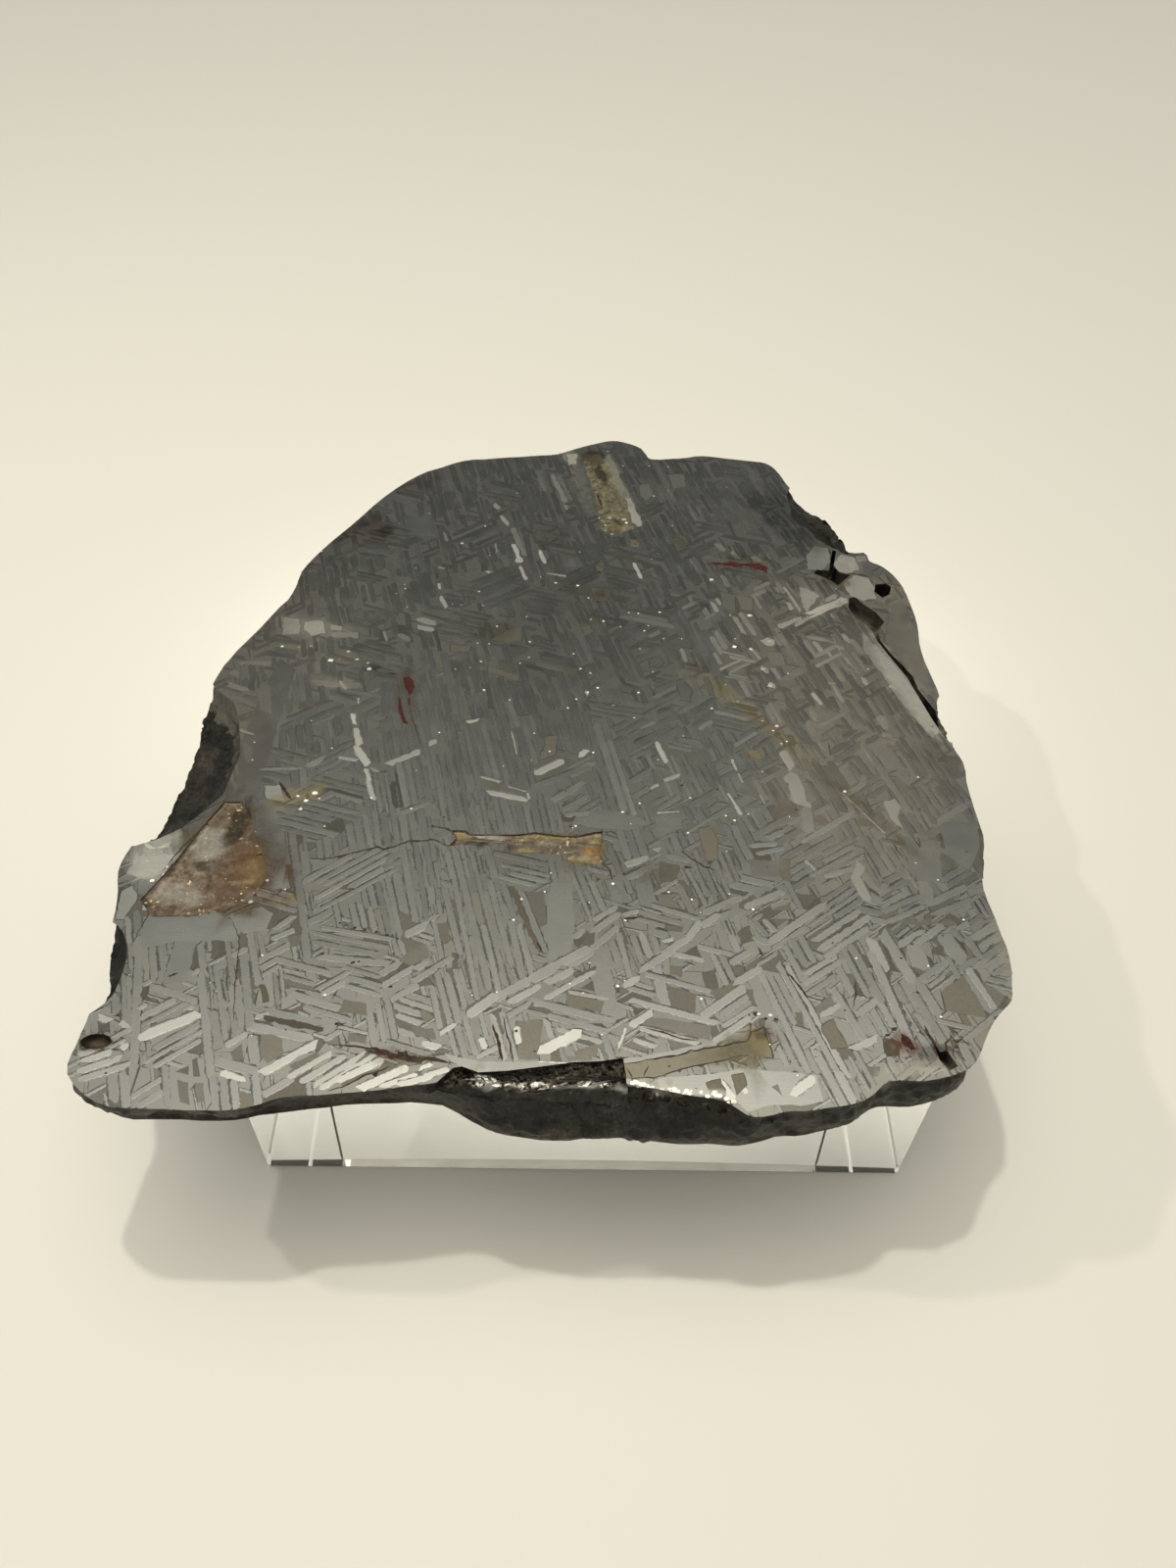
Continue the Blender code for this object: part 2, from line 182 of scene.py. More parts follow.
MIDDLE_RIGHT_BANDS = (
    (80, -26.5, 82.6, -36, 3.6, 0.86), (81, -37, 85.4, -54, 5.8, 0.86),
    (85.6, -53, 85.4, -65.5, 4.2, 0.8), (78, -61.2, 84, -57.3, 2.4, 0.74),
    (86, -57.5, 94, -52.3, 2.2, 0.7), (82, -69.6, 102.2, -55, 2.6, 0.78),
    (118.5, -7.5, 119.6, -15, 3.4, 0.82), (117.6, -17, 121.6, -18.6, 2.9, 0.8),
    (117, -21, 122, -22, 2.8, 0.8), (118.3, -24, 119.6, -34, 6, 0.77),
    (121, -31.5, 122.8, -42.5, 4.4, 0.77), (110, -22, 122, -56, 2.6, 0.64),
    (61, -31, 62.6, -37, 1.2, 0.92), (63, -38, 64.2, -43, 0.9, 0.92),
    (58.5, -47.5, 62.6, -57.6, 1.6, 0.9), (70, -48, 71.2, -52, 0.9, 0.86),
    (50, -16.6, 55.2, -12, 2.6, 0.72), (95, -13.2, 105, -7, 2, 0.74),
    (92.5, -4, 95.2, -9.6, 2, 0.77), (97, -5, 98.6, -8.2, 1.8, 0.77),
    (106, -6, 109.2, -15.2, 2, 0.72), (130, -60, 142, -51.2, 3, 0.7),
    (132, -55, 140, -50, 2, 0.64), (70, -68, 77, -64.4, 2.6, 0.7),
    (64, -71.2, 74, -70, 2.4, 0.66), (66, -74.6, 76, -71.6, 2.2, 0.68),
    (82.4, -77, 85.6, -81.3, 1.6, 0.8), (88, -84, 99, -80, 2.4, 0.66),
    (98.9, -46.3, 111.7, -64.9, 0.9, 0.85),
)
BACK_BANDS = (
    (97.3, 49.4, 115, 60, 2.3, 1.0), (85, 41.4, 95.4, 47.2, 2.3, 0.88),
    (90, 66.6, 95.2, 51, 1.4, 0.9), (90.4, 57, 92.2, 52, 2, 0.87),
    (106, 57.6, 112, 61.6, 2.8, 0.87), (84, 41, 87, 31, 2.1, 0.72),
    (86.8, 32, 90.6, 20, 2.1, 0.72), (73.4, 28.4, 76, 22, 1.6, 0.82),
    (76.8, 18.4, 78.2, 14, 2, 0.87), (79, 9.6, 79.6, 6, 2.4, 0.92),
    (83, 10, 92, 17, 2.9, 0.7), (94.4, 4, 97.2, -2.6, 1.8, 0.94),
    (103, 8, 105.6, -1, 1.8, 0.82), (115, 13, 116.2, 8.4, 1.6, 0.92),
    (107, 38, 109, 30, 2.6, 0.74), (110.4, 38, 112.6, 32, 1.6, 0.84),
    (109, 29, 114.6, 15.4, 2.6, 0.74), (113, 28, 117.2, 16, 1.6, 0.77),
    (107, 24, 110.2, 16, 1.8, 0.74), (115, 25, 119, 27, 1.2, 0.74),
    (96, 22, 102, 24, 1.4, 0.72), (91, 37, 98, 42, 1.6, 0.64),
    (-53, 65, -51.8, 61, 1.4, 0.92), (-51.2, 57, -48.4, 49.4, 1.6, 0.9),
    (-54, 75.6, -51, 74.6, 1.2, 0.82), (-104, 41, -97, 40, 4, 0.68),
    (-103, 37.2, -95, 34, 2.2, 0.72), (-93, 38, -90, 36, 2.6, 0.72),
    (-92, 34, -73, 30.2, 1.8, 0.63), (-85.4, 6.4, -82.2, 1.2, 1.5, 0.9),
    (-22, 82, -20, 79.4, 2.8, 0.97), (-20, 77.4, -16.8, 68, 1.6, 0.97),
    (27.8, 81, 31.2, 70, 1.6, 0.97), (-8.6, 73, -0.4, 71, 1, 0.87),
    (-34.4, 73.4, -31, 72.6, 1.6, 0.82), (-15, 147, -10.4, 129.6, 2.1, 0.74),
    (-8, 144, -1.2, 122, 2.2, 0.84), (-4.8, 143, 1.2, 124, 1.9, 0.77),
    (-1.6, 121, -0.4, 117, 2, 0.87), (-33, 120.6, -30.4, 116.4, 2.4, 0.9),
    (-29.6, 112, -25.8, 105, 2, 0.94), (-24, 103.4, -17.8, 84, 2.2, 0.8),
    (-23.6, 92, -19.4, 79.4, 2.2, 1.0), (-12, 88.6, -9, 79, 1.8, 0.97),
    (-37, 114, -35, 105, 1.8, 0.62), (17.2, 160, 21.9, 141, 3.2, 0.84),
    (21.5, 142, 26.2, 126, 3.4, 0.9), (25.9, 127, 31, 105.5, 3.2, 0.94),
    (3.6, 156, 9.8, 114.6, 4.6, 0.72), (39.6, 154.6, 47.2, 124, 1.6, 0.74),
    (53, 122, 56.2, 110.6, 1.6, 0.77), (57, 122, 59.6, 110, 1.4, 0.72),
    (66, 121, 68.4, 107, 2.8, 0.6), (77, 112, 79.2, 105, 2.4, 0.67),
    (70, 90, 73, 84, 2, 0.87), (38, 40, 46, 16, 2.2, 0.55), (8, 3, 9.2, 0.6, 1.4, 0.9),
    (-59.3, 43.1, -51.4, 39.9, 3, 0.8), (-59.3, 38.1, -52.1, 35.9, 2.6, 0.84),
    (-66.1, 33.4, -61.1, 29.1, 3, 0.74), (-72.1, 34.9, -70, 29.1, 1.2, 0.8),
    (-95.1, 5, -77.2, 3.7, 3.6, 0.76), (-88.6, -2.3, -77, -5.9, 2.6, 0.66),
    (13.6, 71.3, 16.4, 68.4, 2.4, 0.66), (123, 7, 125.9, 8.8, 1.4, 0.85),
    (-53.4, 99.4, -51.6, 93, 1.4, 0.8), (-30.9, 92.3, -29.8, 85.9, 0.9, 0.85),
    (-15.1, 102.3, 0.6, 95.5, 2.4, 0.74), (40.9, 136.6, 42.3, 123.7, 2.4, 0.66),
    (63.7, 95, 66.9, 89.4, 2.6, 0.78), (78, 85.9, 82.3, 83, 2.4, 0.85),
    (-29, 118.4, -23.8, 117.3, 2, 0.7), (-13, 147, -11, 130, 2.4, 0.7),
    (98.4, 47.4, 115.7, 58.2, 1.6, 1.0), (94.6, -13.7, 106, -6, 1.6, 0.8),
    (106.2, 37.5, 109.6, 27, 2.2, 0.82), (109.1, 27.9, 114.4, 15.1, 2.8, 0.82),
    (92.3, -5.1, 94.3, -11.4, 1.6, 0.84), (110, -23.3, 117.4, -42.1, 2.2, 0.8),
    (43, 72, 46, 64, 2.4, 0.62), (-44, 140, -41, 122, 2.6, 0.56), (66, 66, 70, 52, 2.6, 0.6),
    (-20, 56, -16, 42, 2, 0.6), (30, 66, 33, 52, 1.8, 0.66), (52, 84, 55, 76, 1.6, 0.7),
)
BANDS = (
    FRONT_LEFT_BANDS + FRONT_EDGE_BANDS + FRONT_MIDDLE_BANDS + FRONT_RIGHT_BANDS
    + MIDDLE_LEFT_BANDS + MIDDLE_BANDS + MIDDLE_RIGHT_BANDS + BACK_BANDS
)

# Packets of parallel bands: centre, direction, how many, spacing, length, tone
PACKETS = (
    ((-28, -108), 104.5, 10, 2.9, 50, 0.55), ((-38, -38), 102.5, 6, 2.8, 72, 0.53),
    ((16, -38), 103, 4, 3, 58, 0.53), ((25, -74), 104, 3, 3, 34, 0.54),
    ((-104, -139), 108, 5, 2.9, 42, 0.57), ((9, -95), 110, 4, 2.6, 18, 0.55),
    ((-32, -137), 106, 4, 2.8, 26, 0.56), ((-66, -112), -12, 5, 3, 30, 0.56),
    ((-68, -85), 38, 6, 2.7, 24, 0.6), ((-87, -131), 105, 4, 2, 12, 0.55),
    ((-56, -40), 104, 4, 2.7, 52, 0.5), ((50, 35), 107, 4, 2.3, 42, 0.56),
    ((-24, -26), 104, 3, 3, 34, 0.52), ((93, -76), 33, 4, 2.6, 16, 0.62),
    ((70, -134), 109, 3, 2.7, 34, 0.6), ((4, 27), 108, 4, 2.4, 20, 0.52),
    ((21, 25), 108, 4, 2.6, 28, 0.5), ((128, -112), 107, 3, 3.2, 20, 0.58),
    ((-14, -85), -16, 3, 2.4, 16, 0.58), ((20, -8), -12, 3, 2.4, 26, 0.52),
    ((-128, -135), 106, 2, 3.6, 50, 0.56), ((-96, -162), 106, 3, 2.8, 12, 0.6),
    ((-18, -145), 106, 3, 2.8, 18, 0.6), ((-63, -52), 104, 4, 1.9, 16, 0.62),
)

# Patches of fine dark intergrowth between the bands: outline corners, then shade and warmth
FIELDS = (
    (((-128.5, -130.5), (-125, -129.5), (-124.5, -134), (-127.5, -136.5)), 0.3, 0.24),
    (((-88, -146), (-82, -145), (-80, -152), (-84.5, -155.5), (-87, -152)), 0.44, 0.48),
    (((-96, -152), (-93, -149), (-91.5, -154), (-94.5, -154.5)), 0.4, 0.42),
    (((-110.5, -158.5), (-107, -156.5), (-106.5, -159.5)), 0.35, 0.3),
    (((-106.5, -154.5), (-105, -154.5), (-103, -160), (-105, -160)), 0.35, 0.3),
    (((-109.5, -161), (-106, -162), (-104, -169), (-107, -168)), 0.4, 0.36),
    (((-104, -162), (-101.5, -162), (-100, -168), (-102, -168)), 0.44, 0.36),
    (((-78, -156), (-70.5, -151.5), (-69, -153), (-75, -158.5)), 0.4, 0.36),
    (((-65, -133.5), (-58, -135), (-57, -139), (-66, -138)), 0.4, 0.54),
    (((-86, -111), (-81, -109.5), (-80.5, -113), (-84, -115)), 0.4, 0.36),
    (((-109, -113), (-107, -112.5), (-106, -119), (-108.5, -119.5)), 0.35, 0.54),
    (((-62, -145), (-56.5, -146), (-56.5, -148.5), (-62, -148)), 0.4, 0.36),
    (((-48, -117), (-42, -112.5), (-40, -118), (-46, -121), (-50, -119)), 0.44, 0.48),
    (((-39, -105), (-36, -104.5), (-34, -111), (-36.5, -113)), 0.4, 0.54),
    (((-33.5, -116), (-32, -116), (-31, -122), (-33, -122)), 0.35, 0.36),
    (((-45, -125), (-40, -125), (-38.5, -128), (-42, -128.5)), 0.35, 0.3),
    (((-43.5, -142.5), (-37, -143), (-36, -147), (-42, -145.5)), 0.4, 0.36),
    (((2.5, -130), (14.5, -133), (13.5, -137), (3, -134)), 0.42, 0.6),
    (((31.5, -93), (36, -92), (40, -98), (33, -96.5)), 0.44, 0.48),
    (((33.4, -78.4), (40, -80), (39, -86), (33, -88)), 0.36, 0.48),
    (((34, -127), (43, -130), (42, -137), (34, -134)), 0.38, 0.48),
    (((23, -135), (27, -135), (24, -138)), 0.3, 0.3),
    (((27, -138), (47, -141), (46, -146), (26, -141)), 0.44, 0.42),
    (((35, -119.5), (39, -120), (38.5, -124), (35, -123)), 0.4, 0.54),
    (((39.5, -115), (44, -112), (45, -116)), 0.32, 0.3),
    (((5, -124), (12, -120), (12, -121.5), (7, -125)), 0.32, 0.3),
    (((7, -128.5), (11, -125.5), (11.5, -129)), 0.32, 0.3),
    (((34, -104), (40, -105), (39.5, -107), (34, -106)), 0.38, 0.48),
    (((5, -110), (8, -110), (6.5, -113.5), (5, -112.5)), 0.32, 0.3),
    (((6, -150), (13, -147), (12, -151.5), (6, -152.5)), 0.44, 0.6),
    (((-12, -140), (-4, -140), (-5, -153), (-11, -153)), 0.44, 0.54),
    (((-12, -91.5), (-5, -92), (-4, -104), (-6, -106)), 0.4, 0.54),
    (((79, -134), (84.5, -129.5), (85, -133), (79.5, -137.5)), 0.44, 0.48),
    (((80.5, -139.5), (84, -138), (87.5, -148), (83, -148)), 0.44, 0.48),
    (((119, -128), (127, -121.5), (131, -134), (131, -137), (119, -134.5)), 0.44, 0.6),
    (((130, -121), (138.5, -129), (135, -134)), 0.44, 0.48),
    (((57, -107), (61, -104), (62, -110), (58, -111.5)), 0.35, 0.48),
    (((69, -101), (74, -101.5), (70, -105)), 0.4, 0.54),
    (((78, -91), (85, -92), (80, -97)), 0.36, 0.24),
    (((69, -98), (76, -94), (75, -98)), 0.42, 0.54),
    (((108, -113), (111, -111.5), (110, -116)), 0.4, 0.36),
    (((119, -112), (123, -110), (122, -115), (119, -114)), 0.34, 0.3),
    (((113, -102.5), (121, -100), (121, -102.5), (115, -103)), 0.42, 0.42),
    (((123, -102), (127, -100.5), (129, -102.5), (126, -103.5)), 0.42, 0.42),
    (((131, -100), (133, -97), (134, -99.5)), 0.4, 0.36),
    (((45, -122), (49, -121), (50, -128), (46, -128)), 0.34, 0.36),
    (((58.5, -128), (60.5, -128), (61, -134), (60, -134)), 0.38, 0.54),
    (((72.5, -136), (74.5, -136), (75, -141), (73, -140.5)), 0.38, 0.42),
    (((46, -160), (49, -158.5), (50, -163), (47, -164)), 0.44, 0.6),
    (((52, -157), (55, -156.5), (55, -161.5), (53, -163)), 0.44, 0.42),
    (((63, -161), (65, -160), (66, -164)), 0.44, 0.42),
    (((92, -154), (96, -154), (95, -157), (93, -157)), 0.4, 0.54),
    (((98, -144.5), (103, -145.5), (102, -149.5), (99.5, -150)), 0.28, 0.54),
    (((102, -122), (105, -120.5), (103.5, -126)), 0.34, 0.3),
    (((73.5, -76.5), (77.8, -76.3), (76.5, -86.3), (73, -84)), 0.42, 0.54),
    (((63, -77), (74, -77.5), (73, -84), (64, -84)), 0.44, 0.12),
    (((-9, -40.6), (0.9, -35.6), (-0.6, -39), (-9, -44.9)), 0.42, 0.48),
    (((-26, -44.5), (-21, -44), (-22, -47.7), (-25.5, -47)), 0.44, 0.6),
    (((-132.6, -68), (-126, -70), (-124.4, -75.6), (-129, -74)), 0.42, 0.6),
)

# Patches that lie over the bands: kind, outline, shade and warmth
INSETS = (
    (PLESSITE, ((19.8, -154.1), (36.1, -151.2), (51.4, -147.4), (57.5, -145.9), (58.5, -142.8),
                (62.6, -141.3), (64.1, -145.4), (64.1, -151.5), (57.5, -150.5), (49.3, -152.5),
                (37.1, -155.6), (28.9, -158.6), (20.8, -158.6)), 0.5, 1.0),
    (PLESSITE, ((10, 64), (18.9, 63), (17, 56), (11, 55.2)), 0.5, 1.0),
    (PLESSITE, ((12, 78.4), (15.7, 77), (15, 74.1), (12.4, 75)), 0.54, 0.8),
    (PLESSITE, ((-29.6, 30.6), (-23.6, 36.3), (-17.5, 38.8), (-17.5, 29.9),
                (-21.4, 29.5)), 0.52, 0.9),
    (PLESSITE, ((-45, 27.5), (-37, 27), (-37.6, 23.6), (-45, 23.8)), 0.52, 0.9),
    (PLESSITE, ((-29.3, 15.6), (-17.5, 10.8), (-18, 7.6), (-29.5, 12.4)), 0.52, 0.7),
    (PLESSITE, ((5.7, 40), (9.5, 40.6), (11.4, 37), (8, 34.1)), 0.52, 0.9),
    (PLESSITE, ((67.1, -26.6), (71.6, -27.4), (72.1, -30.9), (68, -30)), 0.6, 1.0),
    (PLESSITE, ((43.7, 97), (48, 98.7), (51.2, 94), (47, 91.2)), 0.52, 0.9),
    (PLESSITE, ((31.6, 136), (36, 138), (38, 130), (35, 124.4), (32, 128)), 0.6, 0.3),
    (PLESSITE, ((45, 145), (52, 146), (53, 136), (47, 134)), 0.58, 0.3),
    (PLESSITE, ((79.4, 27), (85, 26), (85.9, 19), (80, 18.4)), 0.58, 0.5),
    (PLESSITE, ((70, 60.6), (76.6, 59), (75, 50.6), (71, 52)), 0.58, 0.5),
    (PLESSITE, ((63, 62.7), (69.4, 61), (68.6, 50.6), (63.6, 52)), 0.52, 0.2),
    (METAL, ((32.5, 21), (36, 22.7), (38.6, 19), (36, 16.3), (33, 17)), 0.54, 0.0),
    (METAL, ((42.9, 9), (46, 10.6), (48.6, 4), (47.6, -2.3), (44, -1)), 0.54, 0.0),
    (PLESSITE, ((47.4, -64), (51, -62.7), (53.5, -69), (52.6, -77), (49, -77.7),
                (48, -70)), 0.5, 0.5),
    (PLESSITE, ((-6.3, -21.3), (-2, -20.6), (-2.7, -29.9), (-8.4, -33.4)), 0.5, 0.7),
    (METAL, ((113.1, -52), (113.3, -50), (117.4, -48.8), (119, -52.5), (117, -57), (118.2, -63.4),
             (115, -59.5)), 0.85, 0.0),
    (METAL, ((-139, -69), (-133, -69.5), (-131.6, -73), (-136, -75.6), (-139, -74)), 0.8, 0.0),
    (METAL, ((77, 33), (80, 35), (83, 33.4), (82.6, 30.4), (79, 30.2)), 0.86, 0.0),
    (METAL, ((-112.6, 42), (-106.2, 41.2), (-104.9, 32.3), (-111.6, 31.7)), 0.8, 0.0),
    (METAL, ((-103.7, 39.7), (-97.3, 40.4), (-94.7, 33), (-100.3, 31.5),
             (-103.7, 35.1)), 0.84, 0.0),
    (METAL, ((-93.3, 38.1), (-88.8, 37.3), (-88.8, 34.7), (-93, 35)), 0.8, 0.0),
    (METAL, ((-93, 33.4), (-81.8, 33.8), (-81.2, 30.6), (-91.6, 30.8)), 0.76, 0.0),
    (METAL, ((-1.6, 160), (3.4, 160.4), (3.2, 152), (-0.6, 151)), 0.9, 0.0),
    (PLESSITE, ((-88, -139.4), (-79, -141), (-70, -143.2), (-70, -144.6), (-79, -143.2),
                (-88, -140.8)), 0.22, 0.6),
    (PLESSITE, ((-91.6, -129), (-90, -128.8), (-87.6, -134.5), (-89.4, -134.8)), 0.32, 0.9),
    (PLESSITE, ((-16.8, -90), (-15, -90), (-5.7, -113.4), (-7.4, -113.6)), 0.34, 0.9),
    (METAL, ((-140.1, -73.8), (-137.3, -69.8), (-131.2, -73.1), (-131.4, -75.5),
             (-138.0, -76.3)), 1.0, 0.0),
    (METAL, ((-142.9, -86.6), (-141.2, -80.0), (-133.7, -78.5), (-128.0, -78.8),
             (-130.4, -86.4), (-135.0, -88.8)), 0.9, 0.0),
    (METAL, ((-141.5, -105.1), (-142.5, -94.0), (-139.4, -91.6), (-136.8, -96.6),
             (-139.0, -105.1)), 0.84, 0.0),
    (METAL, ((-134.1, -101.5), (-133.6, -97.4), (-130.2, -96.5), (-130.9, -101.4)), 0.9, 0.0),
    (METAL, ((-104.4, -47.3), (-99.4, -46.6), (-95.8, -54.4), (-102.5, -53.5)), 0.84, 0.0),
    (METAL, ((101.5, 86.7), (105.8, 94.5), (111.6, 93.2), (111.6, 83.7), (107.2, 77.8),
             (101.1, 78.1)), 0.8, 0.0),
    (METAL, ((112.6, 82.7), (116.8, 88.9), (122.4, 86.9), (122.9, 78.7), (117.8, 76.0),
             (113.2, 77.1)), 0.86, 0.0),
    (METAL, ((122.6, 88.4), (127.4, 88.4), (127.1, 84.0), (123.3, 83.4)), 0.8, 0.0),
    (METAL, ((114.8, 69.0), (120.3, 74.8), (126.2, 73.5), (127.6, 68.3), (127.4, 60.1),
             (122.0, 58.3), (116.9, 61.4)), 0.86, 0.0),
    (METAL, ((96.3, 67.0), (100.9, 64.4), (104.1, 61.0), (97.3, 50.2), (96.3, 59.2)), 0.82, 0.0),
    (METAL, ((79.7, 23.0), (82.6, 26.8), (86.7, 24.1), (84.9, 18.5), (80.4, 17.5)), 0.66, 0.0),
    (METAL, ((86.1, 6.1), (90.0, 7.9), (90.2, 4.4), (86.9, 2.6)), 0.7, 0.0),
    (METAL, ((118.5, 39.0), (122.0, 32.4), (128.9, 19.6), (136.4, -1.5), (139.5, -14.9),
             (136.2, -19.1), (128.7, -3.3), (123.0, 14.0), (117.6, 28.6)), 0.82, 0.0),
    (METAL, ((132.5, 55), (138.4, 60), (140, 40.5), (139.8, 28.2), (141.0, 3.8), (137.9, 7.5),
             (130.3, 26.2), (127.2, 34.4), (129.6, 44.1)), 0.68, 0.0),
    (PLESSITE, ((98.9, 126.7), (101.9, 128.0), (109.6, 114.0), (117.0, 100.5), (121.6, 89.6),
                (118.2, 89.4), (112.3, 94.7), (107.7, 99.1), (104.5, 106.9), (100.5, 109.1),
                (98.3, 114.9)), 0.06, 0.7),
    (PLESSITE, ((79.9, 126.9), (83.2, 128.4), (85.8, 125.1), (84.3, 121.7),
                (80.5, 121.6)), 0.34, 0.2),
    (PLESSITE, ((44.1, -160.0), (48.3, -158.7), (49.7, -165.2), (46.0, -164.2)), 0.36, 0.9),
    (PLESSITE, ((51.7, -157.5), (55.1, -156.7), (55.8, -160.4), (52.7, -163.6)), 0.38, 0.9),
    (PLESSITE, ((80.2, -140.5), (84.0, -138.2), (87.2, -147.6), (82.2, -148.2)), 0.42, 0.8),
    (PLESSITE, ((98.2, -145.8), (100.9, -144.7), (103.6, -146.3), (102.0, -150.1),
                (98.5, -150.4)), 0.22, 0.9),
)
INSET_SEAM = 0.3

# Small holes, painted dark for the shade in them: place and size
DOTS = (
    (-70, -105.3, 1.0), (-68, -106, 0.9), (-65, -107, 1.1), (-62, -107.8, 0.8), (-58, -108.6, 1.1),
    (-54.5, -109.7, 1.3), (-51, -111, 1.0), (-64, -120.2, 1.4), (-62.2, -119.8, 1.0),
    (-66, -142, 1.2), (-64.5, -142.2, 0.9), (-68, -132, 0.8), (-104, -92, 1.5), (-99, -94.6, 1.3),
    (-91, -93, 1.2), (27.3, -55, 0.8), (23, -58, 0.8), (21.4, -84, 1.2), (60.5, -136.6, 1.6),
    (66.6, -138.4, 1.5), (63.5, -138.2, 1.2), (12.6, -86.4, 0.9), (98.4, -119, 0.9),
    (102, -141.4, 2.0), (99.6, -143.4, 1.4), (42.2, -80.8, 1.6), (85, 118, 1.4), (5, 118, 0.9),
    (-12, -143.6, 1.0), (-79, 112, 1.2), (111.6, -128.4, 1.0), (88, -135, 0.9), (-132, -140, 1.2),
    (-44, -64.6, 1.0), (-36.6, -67.9, 1.1), (120, -147, 1.6), (113.6, -148, 2.0),
)

# Smooth patches of the light metal: outline corners and tone
SMOOTHS = (
    # The first one, pale at the front right, is partly a painted highlight
    (((24.8, -162.3), (30.6, -158.6), (43.1, -157.4), (55.8, -155.1), (64.3, -156), (76.8, -156.9),
      (77.7, -165.2), (70.8, -166.9), (63.3, -166.5), (55.5, -169), (52.1, -165.6), (46.5, -164.1),
      (36.1, -163.7)), 0.8),
    (((-133, -104), (-107, -103.5), (-100, -108), (-103, -113), (-120, -113), (-131, -116)), 0.62),
    (((-106, -103), (-96, -99.5), (-92, -102), (-93, -108), (-100, -110)), 0.66),
    (((-121, -113), (-114, -112), (-114, -128), (-121, -129)), 0.53),
    (((-141, -81), (-137, -79), (-131, -78.5), (-130, -82), (-133, -87), (-141, -88)), 0.74),
    (((-3, -88), (4, -88), (5, -104), (4, -118), (-3, -118), (-4, -100)), 0.56),
    (((12, -106), (16.5, -120), (19, -139), (14, -141), (10, -122)), 0.53),
    (((-33, -151.5), (-22, -154), (-5, -153.8), (4, -153.5), (20, -152.5), (35, -149.5), (48, -146),
      (48, -149), (36, -151), (20, -154), (0, -156.4), (-15, -158.8), (-27, -157),
      (-31, -154)), 0.7),
    (((5.5, -57), (16, -56), (26, -59), (31, -62), (24, -65), (12, -64.5), (4, -62)), 0.56),
    (((32.3, -60), (36, -57.7), (41, -60), (41.6, -64), (37, -66.3), (33, -65)), 0.54),
    (((-107, -56), (-101, -52), (-96, -66), (-92, -80), (-88, -92), (-96, -92), (-97, -86),
      (-100, -76), (-104, -66)), 0.6),
    (((-113, -54), (-106, -50), (-105, -24), (-103, 12), (-110, 18), (-114, -2), (-117, -30)), 0.5),
    (((118, 39), (122, 33), (128, 21), (131, 10), (138, -8), (133, -11), (126, 8), (119, 24)), 0.6),
    (((131, -59), (144.6, -59), (143, -70), (137, -80.6), (131, -74)), 0.55),
    (((115, -65), (130, -68), (127, -85.6), (119, -85)), 0.55),
    (((95.1, 66.3), (100.9, 64.9), (105.5, 59.9), (100.9, 52), (97.6, 51.3)), 0.8),
    (((-72.3, 110.9), (-62.3, 109.8), (-58, 105.9), (-55.9, 94.4), (-59.4, 96.2), (-65.1, 97.3),
      (-68.4, 101.6)), 0.72),
    (((-75, 67), (-71.4, 69.1), (-65.7, 68.8), (-63.2, 66.6), (-66.4, 64.1), (-69.3, 64.1)), 0.8),
    (((112, 66), (119, 74), (125, 76), (128, 71), (128, 62), (125.5, 58.5), (119, 59)), 0.66),
)

# Colours of the stains
UMBER = (0.03, 0.021, 0.014)
RED_BROWN = (0.13, 0.066, 0.036)
BROWN = (0.13, 0.096, 0.062)
TAN = (0.24, 0.205, 0.15)
ORANGE = (0.42, 0.17, 0.04)
OCHRE = (0.3, 0.23, 0.1)
OLIVE = (0.19, 0.175, 0.115)
PALE = (0.42, 0.4, 0.35)
SLATE = (0.1, 0.104, 0.1)
WARM_GREY = (0.43, 0.395, 0.325)
LIGHT = (0.72, 0.71, 0.65)
LOBE = (0.6, 0.55, 0.44)
HAZE = (0.42, 0.36, 0.22)
# Bare metal, light for the painted highlight on the ledge's lip
BARE_HIGHLIGHT = (0.5, 0.49, 0.45)

